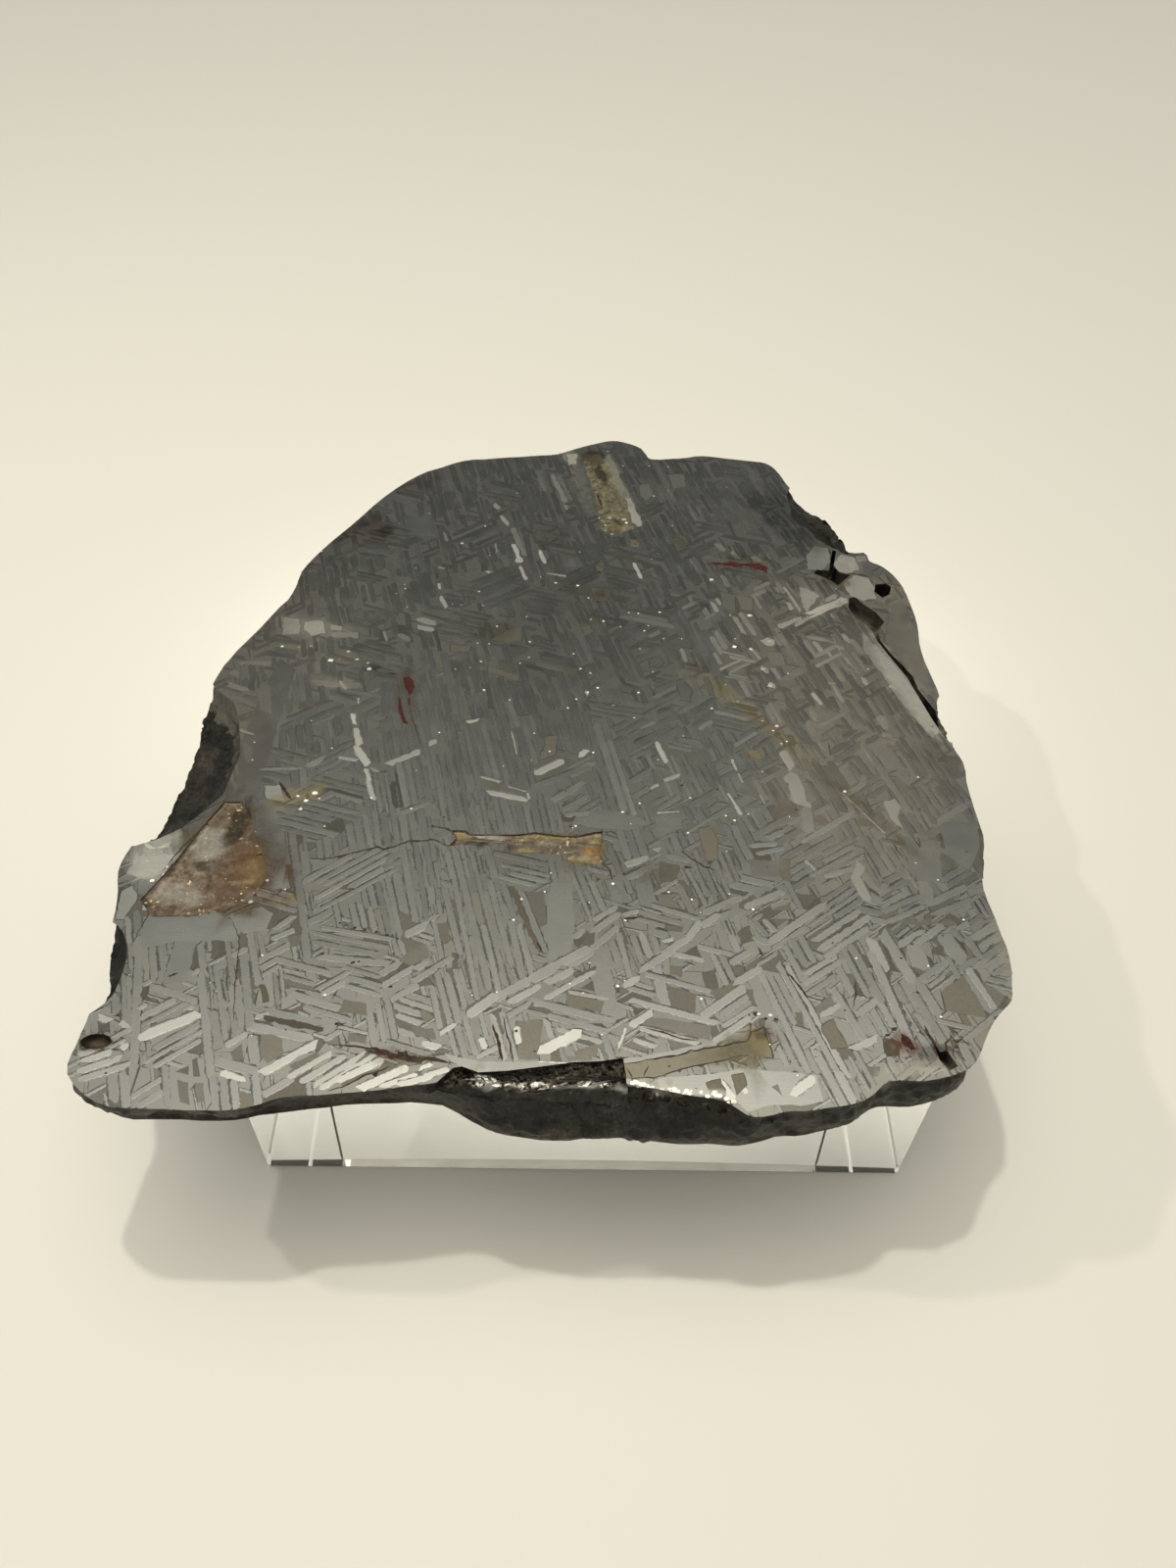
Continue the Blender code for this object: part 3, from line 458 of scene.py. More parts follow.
# Soft stains on the face and in its hollows: middle, reach along and across, turn, colour, strength
STAINS = (
    ((2, -30), (40, 150), 0, SLATE, 0.12),
    ((104, 25), (44, 62), 8, WARM_GREY, 0.4), ((108, -40), (40, 50), 0, WARM_GREY, 0.4),
    ((-112, 20), (30, 60), -32, WARM_GREY, 0.25),
    ((-112, -66), (26, 13), -40, BROWN, 0.5), ((-103, -87), (14, 15), 0, RED_BROWN, 0.75),
    ((-117.4, -74), (7, 9), 0, PALE, 0.75), ((-124, -94), (10, 5), -15, PALE, 0.55),
    ((-110.5, -66), (4.5, 11), -8, UMBER, 0.9), ((-117.2, -82.4), (4.6, 2.4), 0, UMBER, 0.8),
    ((-104, -80), (6, 9), 10, RED_BROWN, 0.8), ((-106, -97), (11, 7), -10, BROWN, 0.6),
    ((-101, -83), (4, 9), 0, OCHRE, 0.5), ((-98, -94.5), (4, 3), 0, PALE, 0.5),
    ((-128, -72), (6, 5), 0, OLIVE, 0.8),
    ((-95, -53), (13, 4), 30, HAZE, 0.65), ((-88, -52), (6, 3), 20, HAZE, 0.7),
    ((-112, -30), (7, 30), 0, TAN, 0.35), ((-88, -96), (4, 3), 0, OCHRE, 0.6),
    ((-85, 19), (8, 3), -14, HAZE, 0.45), ((-104, 24.8), (9, 2), 0, HAZE, 0.6),
    ((-75, 14), (4, 2), 0, UMBER, 0.6), ((-86, 5), (12, 4), -12, TAN, 0.4),
    ((-30, 36), (9, 7), 20, OLIVE, 0.6), ((15, 60), (5, 5), 0, TAN, 0.6),
    ((14, 60), (2.4, 3), 0, BROWN, 0.6), ((4.5, 12), (4, 5), 30, OCHRE, 0.4),
    ((12, 43.5), (5, 2.2), 10, OCHRE, 0.6), ((47, 95), (5, 4), 0, OLIVE, 0.6),
    ((52, 18), (5, 5), 0, RED_BROWN, 0.45), ((-8, 98), (10, 4), -25, TAN, 0.5),
    ((-78, 99), (4, 4), 0, UMBER, 0.6), ((-82, 101), (7, 10), 0, RED_BROWN, 0.35),
    ((56, 8), (18, 6), -38, HAZE, 0.3), ((72, -9), (22, 6), -46, HAZE, 0.35),
    ((71, -6), (2, 1.4), 0, ORANGE, 0.4), ((60.5, 5.5), (7, 1.8), -57, OCHRE, 0.55),
    ((70, -7), (9, 1.8), -50, OCHRE, 0.6), ((80.5, -20.5), (8, 2), -55, OCHRE, 0.6),
    ((79, -16), (1.8, 1.6), 0, ORANGE, 0.35), ((85, -26), (9, 4.4), -60, HAZE, 0.35),
    ((95, -40), (13, 4), -50, HAZE, 0.4), ((100, -46), (10, 2.4), -50, BROWN, 0.4),
    ((110, -60), (17, 3), -53, BROWN, 0.5), ((119, -72), (8, 2.2), -54, BROWN, 0.4),
    ((69.5, -28.5), (3.4, 3), 0, OCHRE, 0.5), ((50.5, -70), (4.4, 9), 0, TAN, 0.4),
    ((137, -28), (8, 22), 0, BROWN, 0.3), ((118, 82), (8, 8), 0, LIGHT, 0.4),
    ((121, 66), (9, 10), 0, LIGHT, 0.3),
    ((101, 58), (6, 10), 0, LIGHT, 0.4), ((130.5, 9), (34, 5), 107.5, LIGHT, 0.8),
    ((137, 30), (6, 30), 4, LOBE, 0.55), ((96, 112), (10, 26), 28, SLATE, 0.6),
    ((110.5, 108), (21, 4.2), -63, UMBER, 0.9),
    ((83, 124), (4, 4), 0, SLATE, 0.6), ((-27, 118), (3.6, 3), 0, TAN, 0.6),
    ((-33.6, -68.5), (3.5, 2), 0, OCHRE, 0.8), ((-23.5, -68.4), (8, 1), -5, PALE, 0.9),
    ((-28, -71.5), (4.5, 1.3), 0, UMBER, 0.9), ((-1, -68.6), (15, 1.8), 0, OCHRE, 0.7),
    ((-3.5, -70.9), (4.5, 0.8), 0, PALE, 0.8), ((-5, -72.6), (14, 1.6), 0, BROWN, 0.8),
    ((-12.7, -74.2), (5.5, 1.8), 0, OCHRE, 0.7), ((12, -73), (3.4, 7), 0, OCHRE, 0.85),
    ((8, -78), (7, 2.6), 0, OCHRE, 0.85), ((10.4, -73.6), (1.8, 1.4), 0, ORANGE, 0.8),
    ((12.6, -77), (1.5, 1.2), 0, ORANGE, 0.8),
    ((-3, -78), (24, 6), -4, TAN, 0.3), ((30, -83), (5, 5), 0, OLIVE, 0.5),
    ((-120, 45), (16, 30), -35, BROWN, 0.25), ((-105, 88), (18, 34), -40, BROWN, 0.22),
    ((104, -146), (5, 4), -60, RED_BROWN, 0.7), ((112, -150), (7, 4), 0, UMBER, 0.5),
    ((55, -149.5), (7, 6), 10, OLIVE, 0.8), ((46, -151), (10, 3), 14, OLIVE, 0.6),
    ((-136, -149), (6, 3), 0, UMBER, 0.6), ((128, -146), (12, 16), 30, TAN, 0.25),
    ((111, 72), (9, 6), -20, TAN, 0.9),
    ((134, 62), (9, 14), 0, LOBE, 0.5), ((117, 50), (7, 8), 20, TAN, 0.6),
    ((-136, -149.5), (4, 3), 0, BROWN, 0.8),
    ((60.5, -146), (3, 5), 20, OCHRE, 0.55), ((62, -144), (2, 2), 0, BROWN, 0.6),
    ((14.2, 145), (2.6, 9), 14, UMBER, 0.85), ((10, 158), (6, 7), 0, BROWN, 0.8),
    ((20.5, 124), (4, 8), 14, TAN, 0.35), ((22, 106), (5, 4), 0, OCHRE, 0.6),
    ((22.5, 109), (2, 2.4), 0, UMBER, 0.5), ((24, 132), (3, 32), 14, LOBE, 0.5),
    ((5, 136), (3.6, 26), 12, LOBE, 0.4), ((0.6, 157), (5, 6), 0, LIGHT, 0.6),
    ((-100, 36), (18, 7), -8, LIGHT, 0.45), ((-86, 4.5), (11, 3), -4, LIGHT, 0.4),
    ((75, 81), (14, 6), 0, BROWN, 0.35), ((71, 86.5), (5, 2.6), 0, OLIVE, 0.6),
    ((80, 84), (3, 2), 0, OCHRE, 0.6), ((-60, 1), (5, 16), 8, RED_BROWN, 0.3),
    ((-93, 100), (4, 12), -38, UMBER, 0.5), ((-70, 132), (12, 5), 32, RED_BROWN, 0.3),
    ((-127, -29), (5, 14), 0, RED_BROWN, 0.5), ((142, -122), (3, 36), 2, PALE, 0.6),
    ((-136, -79), (8, 14), 0, LIGHT, 0.85),
    ((-47, -152.6), (10, 3), -8, BROWN, 0.45), ((56, -148), (12, 5), 12, BROWN, 0.4),
    ((61, -143.5), (3, 2.5), 0, UMBER, 0.5), ((108, -154), (14, 3), 10, PALE, 0.7),
)

# The bright lip of the broken ledge under the front edge: bare metal, with a painted highlight
# along it
LEDGE_LIP = ((-25.6, -157.1), (-13.4, -159.9), (3.5, -159.2), (16.2, -159), (27.2, -160.8),
             (37.2, -162.4), (49.8, -163.6))
LIP_REACH = 1.3
LIP_OVERLAP = 0.6
LIP_STRENGTH = 0.95

# A line of glitter on the face that goes on from there along its edge
GLITTER_LINE = ((21.5, -159.4), (28, -162.1), (37, -163), (46, -163.8), (52, -166))
GLITTER_PER_SPAN = 9
GLITTER_OFF_LINE = (-0.7, 0.9)
GLITTER_SIZES = (0.6, 1.9)

# Minerals with sharp outlines: golden sulphide and red oxide
GOLD_SHAPES = (
    ((6.1, 158.3), (13.1, 160.1), (18.2, 152.7), (23.1, 131.4), (28.4, 104), (22.7, 100.5),
     (14.6, 102.2), (13, 115.7), (10.5, 133.8), (7.5, 148.3)),
    ((26.6, 97.3), (31.2, 95), (30, 91.6), (27, 92.5)),
)
RED_SHAPES = (
    ((-53.6, -150.6), (-51, -151.2), (-50.4, -152.4), (-53, -152)),
    ((-49.8, -151.4), (-48, -151.6), (-47.4, -153.4), (-49.4, -152.8)),
    ((-46.6, -150.8), (-45, -151.4), (-45.4, -153.8), (-46.8, -152.8)),
    ((-43.6, -152.2), (-41.4, -152.6), (-41.2, -154.4), (-43.4, -154.2)),
    ((-40.6, -152.8), (-38.6, -153.2), (-39.4, -154.8)),
    ((-53.4, -158.6), (-51.6, -157.8), (-52.4, -159.6)),
    ((-61.7, 8.4), (-59.4, 9.7), (-57.4, 6.5), (-56.6, 3.3), (-57.2, -0.1), (-58.4, -1),
     (-60.1, 2.4)),
    ((-58.8, -2.2), (-57.9, -3), (-57.4, -6.6), (-58.2, -6)),
    ((-62.6, -2), (-61.4, -3), (-60, -9.4), (-57.4, -16.4), (-59, -15.6), (-61.6, -9)),
    ((58.4, 80.9), (62.1, 81.9), (67.6, 81.6), (69, 83.2), (72.4, 81.4), (78.8, 81.7),
     (81.4, 81.8), (84.6, 78.6), (84, 75.2), (81.5, 76.9), (76, 79.3), (72, 79.3), (70.3, 78.6),
     (66.5, 79.8), (62, 80.5)),
    ((104, -142.6), (106, -144), (107.6, -148), (106, -148.4), (103.6, -145.6)),
)

# Cracks: points along each one, and its greatest width
CRACKS = (
    (((19.8, -154.1), (28, -152.6), (36.1, -151.2), (40, -149.6), (51.4, -147.4), (57.5, -145.9),
      (58.5, -142.8), (62.6, -141.3), (64.6, -152)), 0.6),
    (((20.8, -158.6), (28.9, -158.6), (37.1, -155.6), (49.3, -152.5), (57.5, -150.5)), 0.45),
    (((20.9, -155.4), (22.2, -157.7), (22.7, -158.9)), 0.6),
    (((27.4, -154.4), (26.3, -156.6), (25.8, -158.5)), 0.6),
    (((-56.7, -150.8), (-51.2, -151.8), (-48.3, -152.3), (-45.8, -153.1), (-42.8, -153.8),
      (-39.5, -154.1), (-37.6, -153.4), (-31.3, -154.7)), 1.1),
    (((-45.8, -153.1), (-44.6, -151.1), (-42.8, -153.8)), 0.9),
    (((112.2, 93.6), (112.2, 84), (113, 77)), 1.0), (((115, 75), (121, 76), (126.5, 74.4)), 0.8),
    (((-84.4, -79.5), (-75.9, -79.1), (-69.4, -76.6), (-61.6, -74.1), (-59.4, -75.2),
      (-51.6, -71.6), (-42.7, -70.6), (-39.5, -72.7), (-37, -73)), 0.8),
    (((-44, -64.5), (-39, -65.6), (-36.6, -67.7)), 0.6),
    (((-66, -149), (-58, -149.5), (-52, -150.5), (-47, -152), (-42, -153), (-36, -153),
      (-31, -154.5)), 0.9),
    (((-48, -155.7), (-56, -159.3), (-60, -162), (-66, -164.3)), 0.6),
    (((111.5, -139.5), (112, -143), (113.5, -146), (113.5, -149), (115, -151)), 1.0),
    (((113.5, -150), (116.5, -148.5), (117, -146), (119, -143.5), (120, -145.5), (122, -144.5),
      (124, -147)), 0.8),
    (((122, -144.5), (120, -141), (124, -141)), 0.6),
    (((92.5, -124.5), (92, -130), (90.5, -134.5)), 0.5), (((63, -112), (65.5, -117)), 0.6),
    (((14.8, -80.4), (16.6, -82.7), (17.6, -87)), 0.7),
    (((15, -66.3), (17.3, -65.8), (19.8, -67.4)), 0.6),
    (((40.1, -73.4), (43.7, -77), (48, -80.2), (50.3, -80.9), (53.1, -82.7)), 0.7),
    (((41.6, -81), (44.8, -81)), 0.9), (((-122.3, -66.3), (-127, -76), (-131.6, -86.3)), 0.6),
    (((-105, -104.3), (-101, -111.4), (-99.8, -119.3), (-98.7, -130.7), (-97, -142)), 0.45),
    (((-130, -95.7), (-134.4, -115.7)), 0.4), (((-120.5, -126.2), (-117, -124.8)), 1.0),
    (((-100, -45), (-96.6, -50), (-93.7, -53.8)), 1.5),
    (((-58, -6.3), (-54.6, -17), (-51.6, -26.3)), 0.5),
    (((-68.6, 11.3), (-62.5, 9.7)), 0.8), (((-16.5, -138), (-14, -147), (-12.5, -154)), 0.6),
    (((71.5, -121), (75, -127), (78, -132)), 0.9), (((-73.6, 12.9), (-71.6, 12.4)), 1.6),
    (((-7, -111), (-4.6, -116)), 0.8), (((20.6, -102.4), (24, -101.6), (26.4, -101)), 0.9),
    (((12.6, 128.7), (14, 124), (14.4, 120)), 1.4),
    (((11.6, 149.4), (14, 144), (16.6, 139.4)), 2.0),
    (((97, -21), (97.4, -29)), 0.4), (((113, -68.4), (114.4, -72), (116, -75.6)), 0.5),
    (((120.3, -65), (122.4, -71), (122.8, -65)), 0.5),
    (((-19.2, -141), (-17, -148), (-15.5, -154)), 1.3),
    (((39.4, -118), (43, -119.5)), 0.6), (((-52, -128.5), (-50.4, -128.9)), 0.9),
    (((26, -141.8), (38, -145.4), (43, -146.4)), 0.6),
)

# Bright glints: place and size
GLINTS = (
    (-86.5, -50.5, 2.0), (-90, -57.8, 1.4), (-89, -54, 1.6), (-92, -52, 1.2), (-110.9, -63.6, 1.4),
    (-116.9, -61.3, 1.2), (-104.4, -68.4, 1.4), (-100.9, -77, 1.4), (-114.4, -78, 1.2),
    (-103.7, -82.7, 2.4), (-101.6, -85.9, 2.6), (-98, -89, 2.4), (-96.2, -88.8, 1.4),
    (-116.6, -84.9, 1.6), (-100, -97.5, 1.4), (-133.7, -89.5, 1.4), (-130.5, -87, 1.2),
    (65.5, -1.6, 1.2), (79, -14, 1.6), (79.8, -23, 1.2), (100, -46, 1.4), (-110.4, 25, 1.4),
    (-104, 24.5, 1.2), (-99.3, 25.4, 1.2), (-90.7, 17.4, 2.2), (-80.4, 18.2, 1.4),
    (-84.3, 22.7, 1.4), (-76, 16.3, 1.2), (-75, 13.1, 2.0), (10, 44.1, 1.2), (15, 43.1, 1.2),
    (6.1, 15, 1.2), (10, 12.7, 1.2), (25.4, 48.4, 1.0), (21.8, 39.9, 1.0), (32.9, 40.8, 1.0),
    (12.7, 4.7, 1.0), (8.9, 2, 1.0), (4.6, -1.7, 1.0), (-30.4, 2.4, 1.2), (-20.4, -2.6, 1.0),
    (28.1, 2.4, 1.0), (-32.5, 18.2, 1.0), (37.9, 49.1, 1.0), (29.3, 26.9, 1.0), (-4.6, 66.6, 1.2),
    (4.6, 65, 1.2), (-32.9, 72.7, 1.2), (18, 111.6, 1.6), (24.4, 110.9, 2.4), (25.5, 108.4, 1.6),
    (16.2, 106.2, 1.4), (16.2, 102.6, 1.4), (19.1, 100.1, 1.6), (38, 128.4, 1.4),
    (-45.1, 91.9, 1.4), (80.6, 32.7, 2.0), (78.7, 7.4, 2.0), (76.6, 16.6, 2.0), (73, 28, 1.8),
    (74.4, 48.1, 2.0), (60.1, 70.6, 2.0), (66.6, 29.1, 1.8), (61.5, -136.6, 1.2),
    (65, -137, 1.4), (27.3, -52.9, 1.0), (21.2, -57, 1.0), (4.9, -63.6, 1.2), (17.6, -88.1, 1.2),
    (74, -11.5, 0.9), (77.5, -16.5, 0.9), (82, -22, 0.9),
    (-92.5, -118, 1.0), (-71, -132, 1.0), (-3, -84, 0.8), (125, 8, 1.4), (18.6, -127.4, 1.0),
    (-52, -57, 1.0), (45, -50, 1.0), (60, -60, 1.0), (34, 14, 1.0), (44, -20, 1.0), (-14, 30, 1.0),
)
CHANCE_GLINTS = 160
CHANCE_PITS = 110
CHANCE_SIZES = (0.45, 0.95)

# How bands are strewn in each zone: its middle and reach, the share of each direction, the
# shortest and the longest band, their width and tone, and the share of dark patches between them
Zone = namedtuple("Zone", "middle reach families lengths width tone dark")
ZONES = tuple(Zone(*row) for row in (
    ((-28, -80), 34, (0.82, 0.1, 0.08), (18, 55), 2.75, 0.52, 0.06),
    ((-36, -25), 38, (0.86, 0.06, 0.08), (16, 50), 2.5, 0.48, 0.04),
    ((-108, -130), 42, (0.44, 0.28, 0.28), (12, 42), 2.8, 0.54, 0.4),
    ((-62, -125), 30, (0.4, 0.25, 0.35), (10, 30), 2.6, 0.53, 0.35),
    ((15, -125), 38, (0.38, 0.26, 0.36), (9, 32), 2.6, 0.52, 0.3),
    ((75, -130), 36, (0.5, 0.34, 0.16), (9, 34), 2.7, 0.56, 0.4),
    ((120, -115), 30, (0.42, 0.46, 0.12), (9, 26), 2.9, 0.55, 0.45),
    ((95, -65), 34, (0.5, 0.46, 0.04), (8, 24), 2.6, 0.53, 0.2),
    ((45, -35), 36, (0.46, 0.3, 0.24), (6, 19), 2.3, 0.49, 0.06),
    ((20, -78), 24, (0.6, 0.3, 0.1), (8, 24), 2.5, 0.5, 0.1),
    ((-95, -30), 38, (0.5, 0.3, 0.2), (7, 22), 2.5, 0.5, 0.08),
    ((-65, 40), 44, (0.48, 0.2, 0.32), (6, 20), 2.4, 0.49, 0.1),
    ((10, 45), 40, (0.55, 0.2, 0.25), (6, 22), 2.2, 0.47, 0.1),
    ((85, 30), 42, (0.62, 0.22, 0.16), (6, 16), 2.2, 0.51, 0.12),
    ((0, 110), 48, (0.66, 0.14, 0.2), (8, 28), 2.3, 0.5, 0.06),
    ((60, 120), 40, (0.66, 0.14, 0.2), (7, 22), 2.3, 0.5, 0.06),
))

# Chance is the same in each run: one seed for each kind of draw
PATTERN_SEED, GLITTER_SEED, STAIN_SEED, FIELD_SEED = 11, 3, 3, 5

# Placed packets: the gap between their bands, and the shortest band
PACKET_GAP = 0.4
SHORTEST_PLACED = 4

# Strewn packets: how many are tried, how many bands they have, their length as a share of the
# zone's, and the shortest band
LONG_PACKETS = {"tries": 900, "members": (3, 7), "length_share": 1.0, "shortest": 9}
SHORT_PACKETS = {"tries": 2600, "members": (2, 4), "length_share": 0.6, "shortest": 5}
STREWN_Y = (-173, 172)

# Their chance ranges: angle and tone, width as a share of the zone's, and the gap
PACKET_ANGLES = 1.6
PACKET_TONES = 0.02
PACKET_WIDTHS = (0.8, 1.15)
PACKET_GAPS = (0.12, 0.34)

# And those of each band in any packet: angle, tone, shift along the packet, and shares of the
# packet's width, length and gap
BAND_ANGLES = 0.7
BAND_TONES = 0.014
BAND_SHIFT = 0.08
BAND_WIDTHS = (0.75, 1.2)
BAND_LENGTHS = (0.7, 1.2)
BAND_GAPS = (0.6, 1.5)

# Slivers in what is still free: how many are tried, and their chance ranges
CRUMBS = 9000
CRUMB_ANGLES = 3
CRUMB_TONES = 0.03
CRUMB_WIDTHS = (0.7, 1.9)
CRUMB_LENGTHS = (4, 12)
SHORTEST_CRUMB = 2.6

# The steep direction differs a little: on the right, behind on the left, and elsewhere
RIGHT_PART, RIGHT_TURN = 60, 3
LEFT_BACK_PART, LEFT_BACK_TURN = -95, -2
OTHER_TURN = 1

# Painted highlight: bands are painted lighter along the front edge, where the face catches the
# light overhead, the rising ones most of all
FRONT_SHEEN_SPAN = (-90, -155)
RISING_SHEEN = 0.16
OTHER_SHEEN = 0.09

# From the middle backwards some bands are lighter by chance: how much lighter and how rarely, and
# how much more so near the spot where they are commonest
LIGHTER_FROM = -60
LIGHTER_LIFT, LIGHTER_SPOT_LIFT = 0.14, 0.24
LIGHTER_LEVEL, LIGHTER_SPOT_EASE = 0.3, 0.2
LIGHTER_SPOT = (88, 35)
LIGHTER_REACH = 65
LIGHTER_RATE, LIGHTER_ROW = 0.4, 5.5

# Points along a band's sides: the step from one to the next and how much it varies, how much the
# sides waver, and the slow and the quick noise that they do it by, each in a place of its own
STEP_JITTER = 0.2
NOISE_PLACES = 900
PLACED_STEP = 1.7
PLACED_WAVER = 0.48
STREWN_STEP = 2.6
STREWN_WAVER = 0.3
SLOW_RATE, SLOW_SHARE, SLOW_ROW = 0.16, 1.6, 3.1
QUICK_RATE, QUICK_SHARE, QUICK_ROW = 0.7, 1.1, 7.7

# A band's bow as a share of its length, and its tips: how far they are cut back, as a share of
# half its width, how many are pointed or slanted, and the least slant
BOW = 0.006
TIP_CUT = (0.5, 1.6)
TIP_SKEW = 0.5
POINTED_TIPS, SLANTED_TIPS = 0.35, 0.35
LEAST_SLANT = 0.35

# How bands lean: by chance, and light ones towards the light overhead, from which tone on and how
# steeply, in front and behind
TILT = 0.008
LEAN_SPAN = (-90, 50)
NEAR_LEAN = (0.78, 0.2)
FAR_LEAN = (0.6, 0.36)
INSET_LEAN = 1.25

# Glints: how they lean by chance and towards the light, and how much more so behind
GLINT_SPREAD = 0.06
GLINT_LEAN = (-0.2, -0.06)
GLINT_FAR_LEAN = 0.04
GLINT_SPAN = (-30, 60)

# Waves in the outlines of other patches: their rate, and how much weaker they are at corners
WAVE_RATE = 0.5
CORNER_WAVE = 0.3

# Cracks: the step along them, how far they wander, how wide their tips are as a share of their
# middle, and how much their width varies
CRACK_STEP = 1.5
CRACK_WANDER = 0.25
CRACK_TIP = 0.45
CRACK_WIDTHS = (0.55, 1.2)

# Grains: how many corners they have, how far each one reaches, and how much they are stretched
GRAIN_CORNERS = (4, 6)
GRAIN_REACHES = (0.6, 1.1)
GRAIN_STRETCH = 1.25

# How strewn bands find room: the grid's cell, the lanes tested across a band as shares of its
# width, how much of it may lie ahead of its point, and how far its tips are tucked under what
# stopped them
CELL = 0.5
AHEAD_SHARES = (0.3, 0.7)
LANES = (-0.36, 0.0, 0.36)
TUCK = 0.6

# Stains: the points strewn on them, how far beyond their reach they may go, how ragged and how
# soft their edges are, and how deep below the face they colour its hollows; light ones stay on it
FINEST_SPACING = 0.9
COARSEST_SPACING = 5.0
POINTS_PER_SPACING = 5
POINT_MARGIN = 1.2
STAIN_MARGIN = 1.4
STAIN_RATE = 0.3
STAIN_ROW = 3.7
STAIN_EDGE = 1.1
STAIN_RAGGED = 0.5
UNSTAINED = 0.02
STAIN_SOFT = 0.45
STAIN_DEPTH = 9
LIGHT_STAIN = 0.5
LIGHT_STAIN_DEPTH = 0.05

# Seams between the bands: narrower gaps than this are seams, with this shade and warmth in front
# and this shade behind
SEAM = 0.5
SEAM_LOOK = (0.25, 0.1)
BACK_SEAM = 0.44
SEAM_SPAN = (-120, -10)

# Wider gaps: how often they are dark as a share of the zone's own value, their shade and warmth
# if so, and otherwise how much darker than the bands they are and their warmth
DARK_CHANCE = 0.6
# Dark gaps get this share of the front edge's painted highlight
DARK_SHADES, DARK_WARMTHS, DARK_SHEEN = (0.3, 0.42), (0.2, 0.7), 0.4
PLAIN_DROPS, PLAIN_WARMTHS = (0.0, 0.06), (0.0, 0.25)

# The face is divided tile by tile; its points are rounded to this many decimals
TILE = 30.0
TILE_CORNER = (-151.3705, -181.8305)
ROUNDING = 3
NEAR_ZERO = 1e-4


def progress(value, start, end):
    """How far a value has come on its way from start to end, between 0 and 1."""
    return min(max((value - start) / (end - start), 0), 1)


def left_of(way):
    """The vector turned a quarter to the left."""
    return np.array((-way[1], way[0]))


class Patch:
    """One closed outline on the face: a band, a field or a stain."""

    def __init__(self, outline, kind, tone, axis=(1.0, 0.0), half_width=0.0, warmth=0.0):
        self.outline = np.array(outline, dtype=float)
        self.kind = kind
        self.tone = tone
        self.axis = axis
        self.half_width = half_width
        self.warmth = warmth
        self.middle = self.outline.mean(axis=0)
        self.tilt = (0.0, 0.0)
        self.low = self.outline.min(axis=0)
        self.high = self.outline.max(axis=0)


def inside(points, outline):
    """Which of the points lie in the closed outline, by the even-odd rule."""
    x = points[:, 0:1]
    y = points[:, 1:2]
    ax, ay = outline[:, 0], outline[:, 1]
    bx, by = np.roll(ax, -1), np.roll(ay, -1)
    rise = np.where(by == ay, 1.0, by - ay)
    crossing = ax + (y - ay) * (bx - ax) / rise
    spans = (ay > y) != (by > y)
    return np.sum(spans & (x < crossing), axis=1) % 2 == 1


class Coverage:
    """A fine grid over the face that remembers where something already lies."""

    def __init__(self, outer, holes):
        self.low = outer.min(axis=0)
        size = np.ceil((outer.max(axis=0) - self.low) / CELL).astype(int) + 1
        self.taken = np.ones(size, dtype=bool)
        self.mark(outer, False)
        for hole in holes:
            self.mark(hole, True)

    def mark(self, outline, value):
        """Set every cell whose middle lies in the outline."""
        first = np.floor((outline.min(axis=0) - self.low) / CELL).astype(int)
        last = np.ceil((outline.max(axis=0) - self.low) / CELL).astype(int) + 1
        first = np.clip(first, 0, self.taken.shape)
        last = np.clip(last, 0, self.taken.shape)
        if np.any(last <= first):
            return
        columns = self.low[0] + (np.arange(first[0], last[0]) + 0.5) * CELL
        rows = self.low[1] + (np.arange(first[1], last[1]) + 0.5) * CELL
        grid = np.stack(np.meshgrid(columns, rows, indexing="ij"), axis=-1).reshape(-1, 2)
        hit = inside(grid, outline).reshape(len(columns), len(rows))
        window = self.taken[first[0]:last[0], first[1]:last[1]]
        window[hit] = value

    def blocked(self, points):
        """Which of the points lie on taken cells, or off the face."""
        cells = np.floor((points - self.low) / CELL).astype(int)
        ok = np.all((cells >= 0) & (cells < self.taken.shape), axis=-1)
        cells = np.clip(cells, 0, np.array(self.taken.shape) - 1)
        return ~ok | self.taken[cells[..., 0], cells[..., 1]]


def free_reach(cover, start, axis, width, longest):
    """How far a band can grow from its start along the axis before it meets something."""
    steps = np.arange(0, longest, CELL)
    side = left_of(axis)
    lanes = np.array(LANES) * width
    points = start + steps[:, None, None] * np.array(axis) + lanes[None, :, None] * side
    stopped = np.any(cover.blocked(points), axis=1)
    if not stopped.any():
        return longest
    return steps[np.argmax(stopped)]


